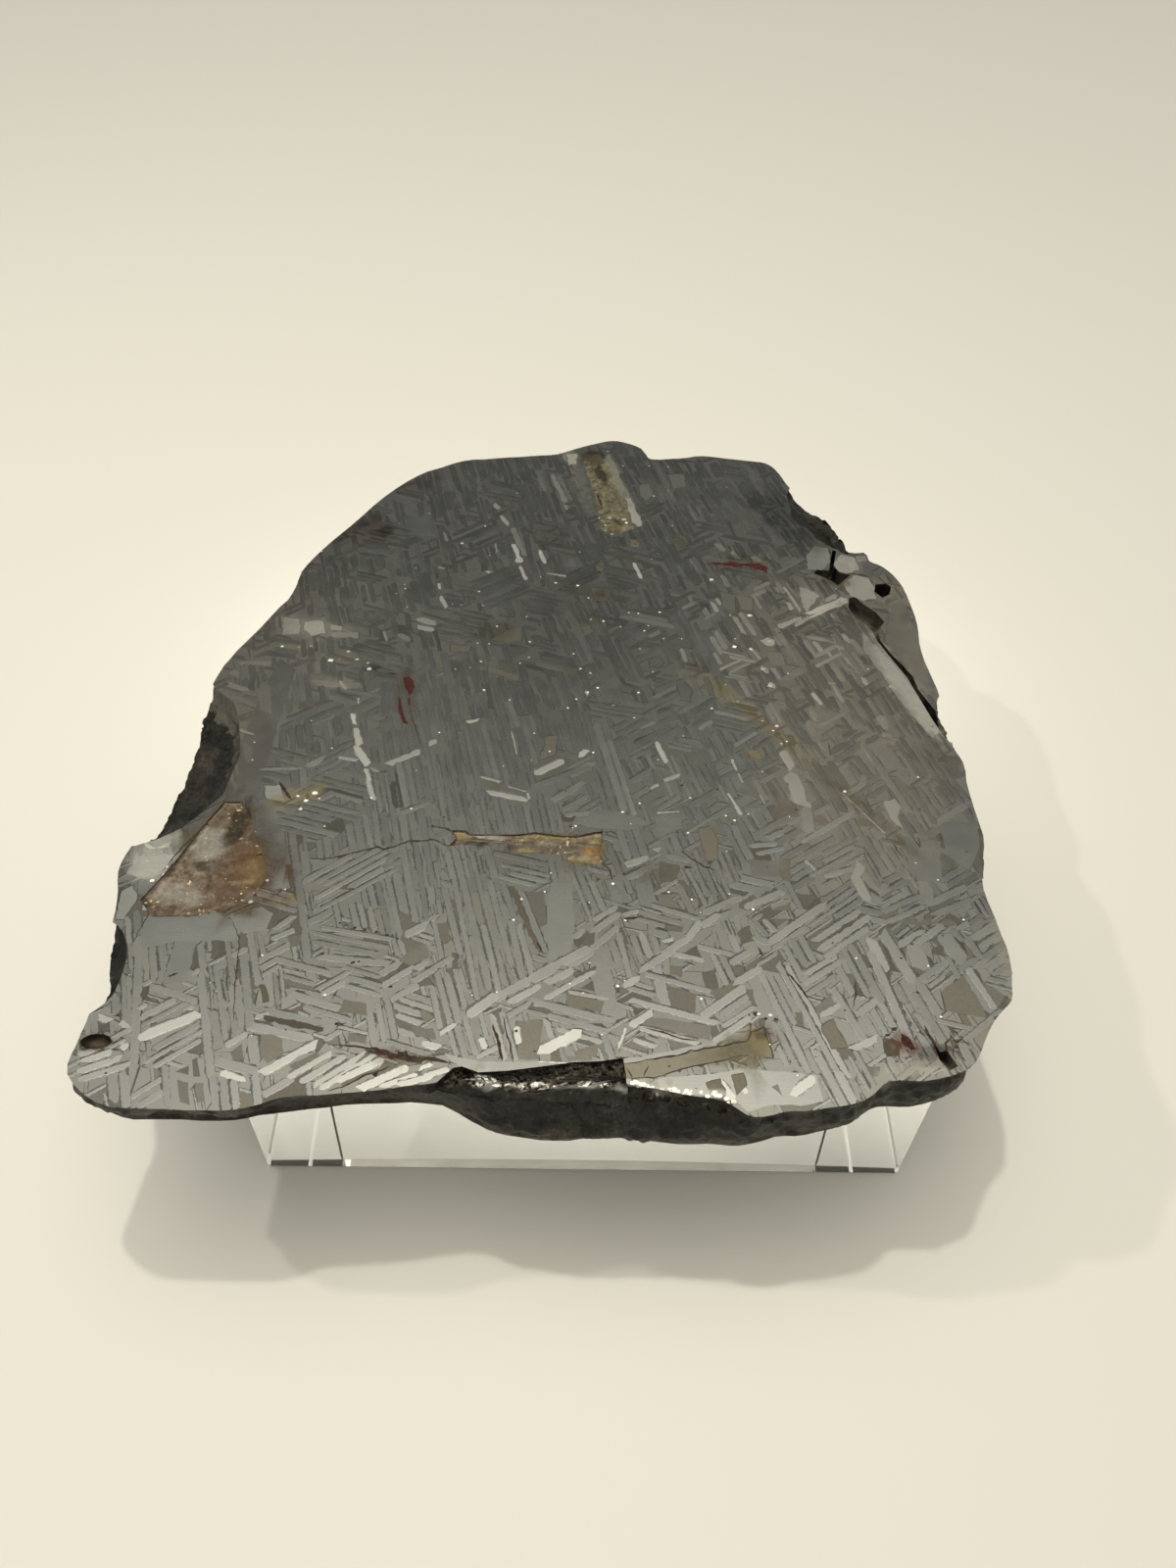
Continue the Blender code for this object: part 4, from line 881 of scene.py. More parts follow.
def band(rng, start, end, width, tone, step=STREWN_STEP, waver=STREWN_WAVER):
    """A band of metal from start to end, with sides that swell a little and ends of their own."""
    start = np.array(start, dtype=float)
    end = np.array(end, dtype=float)
    run = end - start
    length = float(np.hypot(*run))
    axis = run / length
    side = left_of(axis)
    half = width / 2
    bow = rng.gauss(0, BOW) * length
    first_cut = rng.uniform(*TIP_CUT) * half
    last_cut = rng.uniform(*TIP_CUT) * half
    outline = end_cap(rng, start, -axis, side, half)
    sides = []
    skews = [rng.uniform(-TIP_SKEW, TIP_SKEW) for _ in range(2)]
    for sign, skew in zip((-1, 1), skews):
        phase = rng.uniform(0, NOISE_PLACES)
        near = first_cut * (1 + skew)
        far = length - last_cut * (1 - skew)
        count = max(1, round((far - near) / step))
        points = []
        for number in range(count + 1):
            moved = number + rng.uniform(-STEP_JITTER, STEP_JITTER)
            place = near + (far - near) * moved / count
            share = progress(place, 0, length)
            slow = noise.noise((phase, place * SLOW_RATE, SLOW_ROW))
            quick = noise.noise((phase, place * QUICK_RATE, QUICK_ROW))
            reach = half * (1 + waver * (SLOW_SHARE * slow + QUICK_SHARE * quick))
            bowed = bow * 4 * share * (1 - share)
            points.append(start + run * share + side * (sign * reach + bowed))
        sides.append(points)
    outline += sides[0] + end_cap(rng, end, axis, side, half)[::-1] + sides[1][::-1]
    patch = Patch(outline, METAL, tone, tuple(axis), half)
    patch.tilt = (rng.gauss(0, TILT), rng.gauss(0, TILT) - lean(tone, start[1]))
    return patch


def lean(tone, y):
    """How far light metal leans towards the light overhead: more so at the back."""
    near = max(0.0, tone - NEAR_LEAN[0]) * NEAR_LEAN[1]
    far = max(0.0, tone - FAR_LEAN[0]) * FAR_LEAN[1]
    return near + (far - near) * progress(y, *LEAN_SPAN)


def end_cap(rng, tip, axis, side, half):
    """The few points of a band's tip: pointed, slanted or rounded."""
    shape = rng.random()
    if shape < POINTED_TIPS:
        return [tip + side * half * rng.uniform(-0.4, 0.4)]
    if shape < POINTED_TIPS + SLANTED_TIPS:
        turn = rng.uniform(-0.8, 0.8)
        slant = (math.copysign(LEAST_SLANT, turn) + 0.5 * turn) * half
        return [tip - axis * (half * 0.3 + slant) + side * half * 0.7,
                tip - axis * (half * 0.3 - slant) - side * half * 0.7]
    return [tip - axis * half * 0.35 + side * half * 0.62, tip + side * half * 0.15,
            tip - axis * half * 0.25 - side * half * 0.55]


def wavy(points, phase, step=2.4, depth=0.35):
    """The outline with its straight sides broken up into gentle waves."""
    points = [np.array(point, dtype=float) for point in points]
    result = []
    for start, end in zip(points, points[1:] + points[:1]):
        run = end - start
        length = float(np.hypot(*run))
        side = left_of(run) / length
        count = max(1, round(length / step))
        for number in range(count):
            place = start + run * number / count
            wave = noise.noise((place[0] * WAVE_RATE, place[1] * WAVE_RATE, phase))
            result.append(place + side * depth * 2 * wave * (1 if number else CORNER_WAVE))
    return result


def widened(outline, margin):
    """The outline moved outward from its own middle by about the margin."""
    outline = np.array(outline)
    middle = outline.mean(axis=0)
    reach = np.hypot(*(outline - middle).T)
    return middle + (outline - middle) * (1 + margin / np.maximum(reach, margin))[:, None]


def crack_outline(points, width, rng):
    """A crack's outline: widest in its middle, and uneven."""
    chain = []
    for start, end in zip(points, points[1:]):
        count = max(1, round(math.dist(start, end) / CRACK_STEP))
        for number in range(count):
            chain.append(np.array(start) + (np.array(end) - np.array(start)) * number / count)
    chain.append(np.array(points[-1], dtype=float))
    left, right = [], []
    for number in range(1, len(chain) - 1):
        run = chain[number + 1] - chain[number - 1]
        side = left_of(run) / np.hypot(*run)
        shift = side * rng.uniform(-CRACK_WANDER, CRACK_WANDER)
        share = number / (len(chain) - 1)
        swell = CRACK_TIP + (1 - CRACK_TIP) * math.sin(math.pi * share)
        half = width / 2 * swell * rng.uniform(*CRACK_WIDTHS)
        left.append(chain[number] + shift + side * half)
        right.append(chain[number] + shift - side * half)
    if not left:
        run = chain[1] - chain[0]
        side = left_of(run) / np.hypot(*run)
        middle = (chain[0] + chain[1]) / 2
        left.append(middle + side * width / 2)
        right.append(middle - side * width / 2)
    return [chain[0]] + right + [chain[-1]] + left[::-1]


def speck(x, y, size, rng):
    """The outline of a small grain."""
    turn = rng.uniform(0, math.tau)
    corners = rng.randint(*GRAIN_CORNERS)
    outline = []
    for number in range(corners):
        angle = turn + math.tau * number / corners
        reach = size / 2 * rng.uniform(*GRAIN_REACHES)
        outline.append((x + reach * math.cos(angle) * GRAIN_STRETCH, y + reach * math.sin(angle)))
    return outline


def zone_at(point):
    """The zone whose middle is nearest, measured by the zones' own reach."""
    return min(ZONES, key=lambda zone: math.dist(point, zone.middle) / zone.reach)


def family_angle(rng, zone, point):
    """One of the three directions, as it runs at this place."""
    if point[0] > RIGHT_PART:
        turn = RIGHT_TURN
    elif point[0] < 0 and point[1] > LEFT_BACK_PART:
        turn = LEFT_BACK_TURN
    else:
        turn = OTHER_TURN
    return rng.choices((STEEP + turn, RISING, FALLING), zone.families)[0]


def painted_front_sheen(y, family):
    """How much lighter bands are painted along the front edge, as a painted highlight."""
    return progress(y, *FRONT_SHEEN_SPAN) * (RISING_SHEEN if family == RISING else OTHER_SHEEN)


def chance_lift(point):
    """How much lighter a band behind the middle is by chance, mostly on the right."""
    if point[1] < LIGHTER_FROM:
        return 0.0
    close = max(0.0, 1 - math.dist(point, LIGHTER_SPOT) / LIGHTER_REACH)
    chance = noise.noise((point[0] * LIGHTER_RATE, point[1] * LIGHTER_RATE, LIGHTER_ROW))
    if chance > LIGHTER_LEVEL - LIGHTER_SPOT_EASE * close:
        return LIGHTER_LIFT + LIGHTER_SPOT_LIFT * close
    return 0.0


def heading(angle):
    """The unit vector at this angle in degrees from the x axis."""
    return np.array((math.cos(math.radians(angle)), math.sin(math.radians(angle))))


def grow(cover, patches, rng, point, angle, width, longest, shortest, tone):
    """Lay one band through the point if there is room, and mark its place."""
    axis = heading(angle)
    ahead = free_reach(cover, point, axis, width, longest * rng.uniform(*AHEAD_SHARES))
    behind = free_reach(cover, point, -axis, width, longest - ahead)
    if ahead + behind < shortest:
        return
    start = point - axis * (behind + TUCK)
    end = point + axis * (ahead + TUCK)
    piece = band(rng, start, end, width, tone + chance_lift(point))
    patches.append(piece)
    cover.mark(piece.outline, True)


def grow_packet(cover, patches, rng, centre, angle, count, width, gap, longest, shortest, tone):
    """Parallel bands side by side, each grown on its own so that their ends stay ragged."""
    along = heading(angle)
    side = left_of(along)
    offset = -(count - 1) / 2 * (width + gap)
    for _ in range(count):
        own_width = width * rng.uniform(*BAND_WIDTHS)
        point = np.array(centre) + side * offset + along * rng.gauss(0, longest * BAND_SHIFT)
        own_tone = tone + rng.gauss(0, BAND_TONES)
        own_angle = angle + rng.gauss(0, BAND_ANGLES)
        own_length = longest * rng.uniform(*BAND_LENGTHS)
        if not cover.blocked(point[None, :])[0]:
            grow(cover, patches, rng, point, own_angle, own_width, own_length, shortest, own_tone)
        offset += width + gap * rng.uniform(*BAND_GAPS)


def laid_patches(outer, holes):
    """Every band, field and stain on the face, with what lies on top first."""
    rng = random.Random(PATTERN_SEED)
    cover = Coverage(outer, holes)
    patches = chance_specks(rng, outer) + edge_glitter()
    for x, y, size in GLINTS:
        patches.append(glint(x, y, size, rng))
    for points, width in CRACKS:
        patches.append(Patch(crack_outline(points, width, rng), CRACK_FILL, 0.1))
    for number, corners in enumerate(RED_SHAPES):
        patches.append(Patch(wavy(corners, number, step=1.2, depth=0.4), RED, 0.3))
    for number, corners in enumerate(GOLD_SHAPES):
        patches.append(Patch(wavy(corners, number, step=1.4, depth=0.5), GOLD, 0.4))
    for x, y, size in DOTS:
        patches.append(Patch(speck(x, y, size, rng), CRACK_FILL, 0.1))
    for number, (kind, corners, tone, warmth) in enumerate(INSETS):
        outline = wavy(corners, number, step=1.8, depth=0.45)
        patch = Patch(outline, kind, tone, warmth=warmth)
        if kind == METAL:
            patch.tilt = (0.0, -INSET_LEAN * lean(tone, patch.middle[1]))
        patches.append(patch)
        patches.append(Patch(widened(outline, INSET_SEAM), PLESSITE, SEAM_LOOK[0]))
    for x0, y0, x1, y1, width, tone in BANDS:
        # Along the front edge the placed bands are painted lighter too, as a painted highlight
        tone = min(tone + painted_front_sheen((y0 + y1) / 2, STEEP), 1.0)
        patches.append(band(rng, (x0, y0), (x1, y1), width, tone, PLACED_STEP, PLACED_WAVER))
    for number, (corners, shade, warmth) in enumerate(FIELDS):
        patches.append(Patch(wavy(corners, number), PLESSITE, shade, warmth=warmth))
    for number, (corners, tone) in enumerate(SMOOTHS):
        patches.append(Patch(wavy(corners, number), METAL, tone))
    for patch in patches:
        cover.mark(patch.outline, True)
    for centre, angle, count, spacing, longest, tone in PACKETS:
        grow_packet(cover, patches, rng, centre, angle, count, spacing - PACKET_GAP, PACKET_GAP,
                    longest, SHORTEST_PLACED, tone)
    strew_packets(cover, patches, rng, **LONG_PACKETS)
    strew_packets(cover, patches, rng, **SHORT_PACKETS)
    strew_crumbs(cover, patches, rng)
    return patches


def glint(x, y, size, rng):
    """A bright grain that catches the light in its own direction."""
    patch = Patch(speck(x, y, size, rng), GLINT, rng.uniform(0.8, 1.0))
    far = progress(y, *GLINT_SPAN)
    patch.tilt = (rng.gauss(0, GLINT_SPREAD), rng.uniform(*GLINT_LEAN) - GLINT_FAR_LEAN * far)
    return patch


def edge_glitter():
    """Grains of bare metal along the front edge, where the broken ledge runs out."""
    rng = random.Random(GLITTER_SEED)
    patches = []
    for start, end in zip(GLITTER_LINE, GLITTER_LINE[1:]):
        for _ in range(GLITTER_PER_SPAN):
            share = rng.random()
            x = start[0] + (end[0] - start[0]) * share
            y = start[1] + (end[1] - start[1]) * share + rng.uniform(*GLITTER_OFF_LINE)
            patches.append(glint(x, y, rng.uniform(*GLITTER_SIZES), rng))
    return patches


def chance_specks(rng, outer):
    """Tiny glints, and pits painted dark for the shade in them, at chance places all over the face.
    """
    patches = []
    low, high = outer.min(axis=0), outer.max(axis=0)
    for number in range(CHANCE_GLINTS + CHANCE_PITS):
        x = rng.uniform(low[0], high[0])
        y = rng.uniform(low[1], high[1])
        size = rng.uniform(*CHANCE_SIZES)
        if number < CHANCE_GLINTS:
            patches.append(glint(x, y, size, rng))
        else:
            patches.append(Patch(speck(x, y, size, rng), CRACK_FILL, 0.1))
    return patches


def strewn_places(cover, rng, tries):
    """Free places at chance, each with its zone and one of the three directions."""
    for _ in range(tries):
        point = np.array((rng.uniform(cover.low[0], -cover.low[0]), rng.uniform(*STREWN_Y)))
        if not cover.blocked(point[None, :])[0]:
            zone = zone_at(point)
            yield point, zone, family_angle(rng, zone, point)


def strew_packets(cover, patches, rng, tries, members, length_share, shortest):
    """Packets of bands at chance places, each as its zone has them."""
    for point, zone, family in strewn_places(cover, rng, tries):
        angle = family + rng.gauss(0, PACKET_ANGLES)
        width = zone.width * rng.uniform(*PACKET_WIDTHS)
        longest = rng.uniform(*zone.lengths) * length_share
        tone = zone.tone + rng.gauss(0, PACKET_TONES) + painted_front_sheen(point[1], family)
        gap = rng.uniform(*PACKET_GAPS)
        size = rng.randint(*members)
        grow_packet(cover, patches, rng, point, angle, size, width, gap, longest, shortest, tone)


def strew_crumbs(cover, patches, rng):
    """Small slivers of metal in what is still free."""
    for point, zone, family in strewn_places(cover, rng, CRUMBS):
        angle = family + rng.gauss(0, CRUMB_ANGLES)
        width = rng.uniform(*CRUMB_WIDTHS)
        tone = zone.tone + rng.gauss(0, CRUMB_TONES) + painted_front_sheen(point[1], family)
        longest = rng.uniform(*CRUMB_LENGTHS)
        grow(cover, patches, rng, point, angle, width, longest, SHORTEST_CRUMB, tone)


def tile_of(point):
    """The tile that a point lies in."""
    return (math.floor((point[0] - TILE_CORNER[0]) / TILE),
            math.floor((point[1] - TILE_CORNER[1]) / TILE))


def cut_at_tiles(start, end):
    """The segment's own ends with the points where it crosses the lines between tiles."""
    cuts = [(0.0, start), (1.0, end)]
    for axis in (0, 1):
        span = end[axis] - start[axis]
        if span == 0:
            continue
        low, high = sorted((start[axis], end[axis]))
        first = math.floor((low - TILE_CORNER[axis]) / TILE) + 1
        last = math.floor((high - TILE_CORNER[axis]) / TILE)
        for line in range(first, last + 1):
            place = round(TILE_CORNER[axis] + line * TILE, ROUNDING + 1)
            share = (place - start[axis]) / span
            if not 0 < share < 1:
                continue
            other = start[1 - axis] + share * (end[1 - axis] - start[1 - axis])
            point = [0.0, 0.0]
            point[axis] = place
            point[1 - axis] = round(other, ROUNDING)
            cuts.append((share, tuple(point)))
    cuts.sort()
    return [point for _, point in cuts]


def segments_by_tile(outlines):
    """Sort every outline's segments, cut at the tiles' borders, by the tile they lie in."""
    tiles = {}
    for outline in outlines:
        points = [(round(float(x), ROUNDING), round(float(y), ROUNDING)) for x, y in outline]
        for start, end in zip(points, points[1:] + points[:1]):
            if start == end:
                continue
            chain = cut_at_tiles(start, end)
            for a, b in zip(chain, chain[1:]):
                middle = ((a[0] + b[0]) / 2, (a[1] + b[1]) / 2)
                tiles.setdefault(tile_of(middle), []).append((a, b))
    return tiles


def border_points(index, segments):
    """The points where something crosses the tile's border, side by side, with its corners."""
    west, south, east, north = (
        round(TILE_CORNER[axis] + (index[axis] + step) * TILE, ROUNDING + 1)
        for step in (0, 1) for axis in (0, 1))
    corners = ((west, south), (east, south), (east, north), (west, north))
    ends = {point for segment in segments for point in segment}
    sides = []
    for number, (start, end) in enumerate(zip(corners, corners[1:] + corners[:1])):
        level = 1 - number % 2
        on_side = {point for point in ends if point[level] == start[level]}
        sides.append(sorted(on_side | {start, end}, reverse=number > 1))
    return sides


def stain_points():
    """Chance points on the stains, so that their colour can change between the bands' corners."""
    rng = random.Random(STAIN_SEED)
    points = []
    for centre, reach, turn, _, _ in STAINS:
        spacing = min(max(0.4 * min(reach), FINEST_SPACING), COARSEST_SPACING)
        turned = complex(*heading(turn))
        for _ in range(round(POINTS_PER_SPACING * reach[0] * reach[1] / spacing ** 2)):
            along, across = (rng.uniform(-POINT_MARGIN, POINT_MARGIN) * size for size in reach)
            place = complex(*centre) + complex(along, across) * turned
            points.append((round(place.real, ROUNDING), round(place.imag, ROUNDING)))
    return points


def triangulate_tile(index, segments, free_points):
    """Triangles whose edges follow every segment in the tile, as corner points."""
    numbers = {}
    edges = set()
    chains = [list(segment) for segment in segments]
    chains.extend(border_points(index, segments))
    for chain in chains:
        for a, b in zip(chain, chain[1:]):
            if a == b:
                continue
            i = numbers.setdefault(a, len(numbers))
            j = numbers.setdefault(b, len(numbers))
            edges.add((min(i, j), max(i, j)))
    for point in free_points:
        numbers.setdefault(point, len(numbers))
    points = [Vector(point) for point in numbers]
    result = delaunay_2d_cdt(points, sorted(edges), [], 0, NEAR_ZERO, False)
    corners = [(v.x, v.y) for v in result[0]]
    return corners, result[2]


def owners_of(middles, patches, low, high):
    """For each point, the number of the topmost patch that holds it, or -1."""
    owner = np.full(len(middles), -1)
    for number, patch in enumerate(patches):
        if np.any(patch.high < low) or np.any(patch.low > high):
            continue
        open_ones = np.flatnonzero(owner < 0)
        if not len(open_ones):
            break
        hit = inside(middles[open_ones], patch.outline)
        owner[open_ones[hit]] = number
    return owner


def face_triangles(outer, holes, patches):
    """All triangles of the face as corner keys, with the patch that owns each."""
    outlines = [outer] + holes + [patch.outline for patch in patches]
    tiles = segments_by_tile(outlines)
    first, last = tile_of(outer.min(axis=0)), tile_of(outer.max(axis=0))
    for column in range(first[0], last[0] + 1):
        for row in range(first[1], last[1] + 1):
            tiles.setdefault((column, row), [])
    free_points = {}
    for point in stain_points():
        free_points.setdefault(tile_of(point), []).append(point)
    triangles, owners = [], []
    for index in sorted(tiles):
        corners, faces = triangulate_tile(index, tiles[index], free_points.get(index, []))
        shape = np.array(corners)
        middles = np.array([shape[list(face)].mean(axis=0) for face in faces])
        keep = inside(middles, outer)
        for hole in holes:
            keep &= ~inside(middles, hole)
        if not keep.any():
            continue
        owner = owners_of(middles, patches, shape.min(axis=0), shape.max(axis=0))
        for number in np.flatnonzero(keep):
            keys = tuple(key_of(corners[i]) for i in faces[number])
            if len(set(keys)) == 3:
                triangles.append(keys)
                owners.append(int(owner[number]))
    return triangles, owners


def key_of(point):
    """The name under which a point of the face is found again, whatever tile it came from."""
    return (round(point[0], ROUNDING) + 0.0, round(point[1], ROUNDING) + 0.0)


def sides_of(keys):
    """A triangle's three sides, each as its two corners in a fixed order."""
    return [(min(a, b), max(a, b)) for a, b in zip(keys, keys[1:] + keys[:1])]


# The slice's mesh

# Vertices closer than this are one, before and after the pattern is laid; faces whose corners
# differ less in height than the last number are level
WELD = 0.02 * MM
LAST_WELD = 0.004 * MM
LEVEL = 0.01 * MM

# The rim is divided in rounds until its edges are shorter than this
RIM_EDGE = 1.7 * MM
RIM_ROUNDS = 3

# Lumps on the rim: their depth, the size and share of the coarse, fine and sharp ones, and how
# deep all of it is sunk; they fade out towards the face and the back
CRUST_DEPTH = 1.0 * MM
COARSE_LUMPS, COARSE_SHARE = 7 * MM, 0.8
FINE_LUMPS, FINE_SHARE = 2.4 * MM, 0.7
SHARP_LUMPS, SHARP_SHARE = 4.5 * MM, 0.8
FINE_SHIFT, SHARP_SHIFT = Vector((9, 4, 2)), Vector((1, 7, 5))
SUNK = 1.1
FACE_FADE = 1.2 * MM
BACK_FADE = 1.0 * MM
STILL = 0.05 * MM
BELOW_FACE = 0.02 * MM

# Lumps in the hollows
POCKET_DEPTH = 0.3 * MM
POCKET_FADE = 0.5 * MM

# What the hollows near these places show where they are shallow, from this height above the floor
POCKET_KINDS = (((-5, -72), RUST), ((-110, -76), RUST))
POCKET_REACH = 36
SHALLOW_POCKET = 80

# The broken ledge under the front edge: from left to right, its back, how deep it lies below the
# face, and the least that its faces look upwards
LEDGE_LEFT, LEDGE_RIGHT = -34 * MM, 84 * MM
LEDGE_BACK = -148 * MM
LEDGE_TOP, LEDGE_BOTTOM = 0.1 * MM, 4 * MM
LEDGE_LEVELNESS = 0.5


def shell_of_slice():
    """The slice's own surface without its flat top, with its rim and hollows finely divided."""
    shell = bmesh.new()
    shell.from_mesh(bpy.data.objects["meteorite_slice"].data)
    bmesh.ops.remove_doubles(shell, verts=shell.verts, dist=WELD)
    bmesh.ops.dissolve_degenerate(shell, edges=shell.edges, dist=WELD)
    top = max(vertex.co.z for vertex in shell.verts)
    bottom = min(vertex.co.z for vertex in shell.verts)
    lid = [face for face in shell.faces if is_level(face, top)]
    bmesh.ops.delete(shell, geom=lid, context="FACES")
    for _ in range(RIM_ROUNDS):
        long_edges = [edge for edge in shell.edges if needs_split(edge, bottom)]
        bmesh.ops.subdivide_edges(shell, edges=long_edges, cuts=1)
        only_triangles(shell)
        drop_folded_faces(shell)
    return shell, top, bottom


def only_triangles(shell):
    """Divide every face that has more than three corners."""
    bmesh.ops.triangulate(shell, faces=[face for face in shell.faces if len(face.verts) > 3])


def drop_folded_faces(shell):
    """Remove pairs of faces that lie back to back on the same three corners."""
    by_corners = {}
    for face in shell.faces:
        by_corners.setdefault(frozenset(face.verts), []).append(face)
    folded = [face for faces in by_corners.values() if len(faces) > 1 for face in faces]
    bmesh.ops.delete(shell, geom=folded, context="FACES_ONLY")
    bare = [edge for edge in shell.edges if not edge.link_faces]
    bmesh.ops.delete(shell, geom=bare, context="EDGES")


def is_level(face, height):
    """Whether a face lies flat at this height."""
    return all(abs(vertex.co.z - height) < LEVEL for vertex in face.verts)


def needs_split(edge, bottom):
    """Long edges are divided, apart from those across the flat back."""
    if edge.calc_length() < RIM_EDGE:
        return False
    return any(abs(vertex.co.z - bottom) > LEVEL for vertex in edge.verts)


def open_loops(shell):
    """The rings of vertices along the open edges, the longest one first."""
    # A dict keeps the shell's order, so that each ring starts at the same vertex in every run
    waiting = dict.fromkeys(edge for edge in shell.edges if len(edge.link_faces) == 1)
    loops = []
    while waiting:
        edge, _ = waiting.popitem()
        ring = [edge.verts[0], edge.verts[1]]
        while True:
            following = [e for e in ring[-1].link_edges if e in waiting]
            if not following:
                break
            del waiting[following[0]]
            ring.append(following[0].other_vert(ring[-1]))
        if ring[0] is ring[-1]:
            ring.pop()
        loops.append(ring)
    loops.sort(key=loop_span, reverse=True)
    return loops


def loop_span(ring):
    """How wide a ring of vertices is from left to right."""
    return max(v.co.x for v in ring) - min(v.co.x for v in ring)


def flat_points(ring):
    """A ring's vertices as points of the face, in millimetres."""
    return np.array([(v.co.x / MM, v.co.y / MM) for v in ring])


def stitch_face(shell, top, loops, triangles):
    """The vertex for each of the face's corners: the rim's own where there is one, or a new one."""
    known = {}
    for ring in loops:
        for vertex, point in zip(ring, flat_points(ring)):
            known[key_of(point)] = vertex
    for keys, first, last, shares in rim_meetings(loops, loose_rim_points(triangles, known)):
        known.update(split_edge(first, last, shares, keys, top))
    for keys in triangles:
        for key in keys:
            if key not in known:
                known[key] = shell.verts.new((key[0] * MM, key[1] * MM, top))
    only_triangles(shell)
    return known


def loose_rim_points(triangles, known):
    """The pattern's points on the rim where the rim has no vertex yet."""
    uses = {}
    for keys in triangles:
        for side in sides_of(keys):
            uses[side] = uses.get(side, 0) + 1
    on_rim = {key for side, count in uses.items() if count == 1 for key in side}
    return sorted(key for key in on_rim if key not in known)


def rim_meetings(loops, loose):
    """Each edge of the rim that loose points lie on: the points, its ends, and their shares."""
    starts, ends, points, runs = [], [], [], []
    for ring in loops:
        flat = flat_points(ring)
        starts.extend(ring)
        ends.extend(ring[1:] + ring[:1])
        points.append(flat)
        runs.append(np.roll(flat, -1, axis=0) - flat)
    points = np.concatenate(points)
    runs = np.concatenate(runs)
    lengths = np.maximum(np.sum(runs * runs, axis=1), 1e-12)
    by_edge = {}
    for key in loose:
        offset = np.array(key) - points
        share = np.clip(np.sum(offset * runs, axis=1) / lengths, 0, 1)
        gap = np.hypot(*(offset - runs * share[:, None]).T)
        nearest = int(np.argmin(gap))
        by_edge.setdefault(nearest, []).append((float(share[nearest]), key))
    for nearest, found in by_edge.items():
        found.sort()
        shares, keys = zip(*found)
        yield keys, starts[nearest], ends[nearest], shares


def split_edge(vertex, last, shares, keys, top):
    """Split the edge between two vertices at these shares of it: the new vertex for each point."""
    fresh_ones = {}
    done = 0.0
    for share, key in zip(shares, keys):
        edge = next(e for e in vertex.link_edges if last in e.verts)
        part = (share - done) / (1 - done)
        part = min(max(part, NEAR_ZERO), 1 - NEAR_ZERO)
        _, fresh = bmesh.utils.edge_split(edge, vertex, part)
        fresh.co = Vector((key[0] * MM, key[1] * MM, top))
        fresh_ones[key] = fresh
        vertex, done = fresh, share
    return fresh_ones


def on_fracture(face, top):
    """The fresh broken ledge just under the front edge of the face."""
    middle = face.calc_center_median()
    if not top - LEDGE_BOTTOM < middle.z < top - LEDGE_TOP:
        return False
    in_reach = LEDGE_LEFT < middle.x < LEDGE_RIGHT and middle.y < LEDGE_BACK
    return in_reach and face.normal.z > LEDGE_LEVELNESS


def pocket_kind(face):
    """What a hollow under the face shows: rust or bare crust."""
    middle = face.calc_center_median() / MM
    for place, kind in POCKET_KINDS:
        if math.dist(place, (middle.x, middle.y)) < POCKET_REACH and middle.z > SHALLOW_POCKET:
            return kind
    return CRUST


def build_slice():
    """The whole slice as one closed mesh, with the pattern's values on its faces."""
    shell, top, bottom = shell_of_slice()
    loops = open_loops(shell)
    outer = flat_points(loops[0])
    holes = [flat_points(ring) for ring in loops[1:]]
    pocket_verts = vertices_linked_to(loops[1:])
    patches = laid_patches(outer, holes)
    triangles, owners = face_triangles(outer, holes, patches)
    roughen_rim(shell, top, bottom, pocket_verts)
    known = stitch_face(shell, top, loops, triangles)
    for face in shell.faces:
        if face.verts[0] in pocket_verts:
            face.material_index = pocket_kind(face)
        elif on_fracture(face, top):
            face.material_index = FRACTURE
        else:
            face.material_index = SAWN if is_level(face, bottom) else CRUST
    lay_pattern(shell, known, triangles, owners, patches)
    bmesh.ops.remove_doubles(shell, verts=shell.verts, dist=LAST_WELD)
    drop_folded_faces(shell)
    shell.normal_update()
    for face in shell.faces:
        face.smooth = face.material_index in (CRUST, RUST, GOLD, FRACTURE)
    mesh = bpy.data.meshes.new("etched_slice")
    shell.to_mesh(mesh)
    shell.free()
    add_tint(mesh, top)
    piece = bpy.data.objects.new("etched_slice", mesh)
    bpy.context.collection.objects.link(piece)
    return piece


def lay_pattern(shell, known, triangles, owners, patches):
    """Make the face's triangles, with each patch's values on its own."""
    tone_layer = shell.faces.layers.float.new("tone")
    warmth_layer = shell.faces.layers.float.new("warmth")
    tilt_layer = shell.faces.layers.float_vector.new("tilt")
    strip_layer = shell.loops.layers.float_vector.new("strip")
    fields = plain_fields(triangles, owners)
    for number, (keys, owner) in enumerate(zip(triangles, owners)):
        face = shell.faces.new([known[key] for key in keys])
        if owner < 0:
            face.material_index = PLESSITE
            face[tone_layer], face[warmth_layer] = fields.get(number, seam_look(keys[0][1]))
            continue
        patch = patches[owner]
        face.material_index = patch.kind
        face[tone_layer] = patch.tone
        face[warmth_layer] = patch.warmth
        face[tilt_layer] = (*patch.tilt, 0.0)
        for loop in face.loops:
            loop[strip_layer] = strip_place(patch, loop.vert.co)


def lip_highlights():
    """The bright lip of the broken ledge, bare metal with a painted highlight, as one long spot
    between each two of its points.
    """
    stains = ()
    for start, end in zip(LEDGE_LIP, LEDGE_LIP[1:]):
        middle = ((start[0] + end[0]) / 2, (start[1] + end[1]) / 2)
        turn = math.degrees(math.atan2(end[1] - start[1], end[0] - start[0]))
        half = math.dist(start, end) / 2 + LIP_OVERLAP
        stains += ((middle, (half, LIP_REACH), turn, BARE_HIGHLIGHT, LIP_STRENGTH),)
    return stains


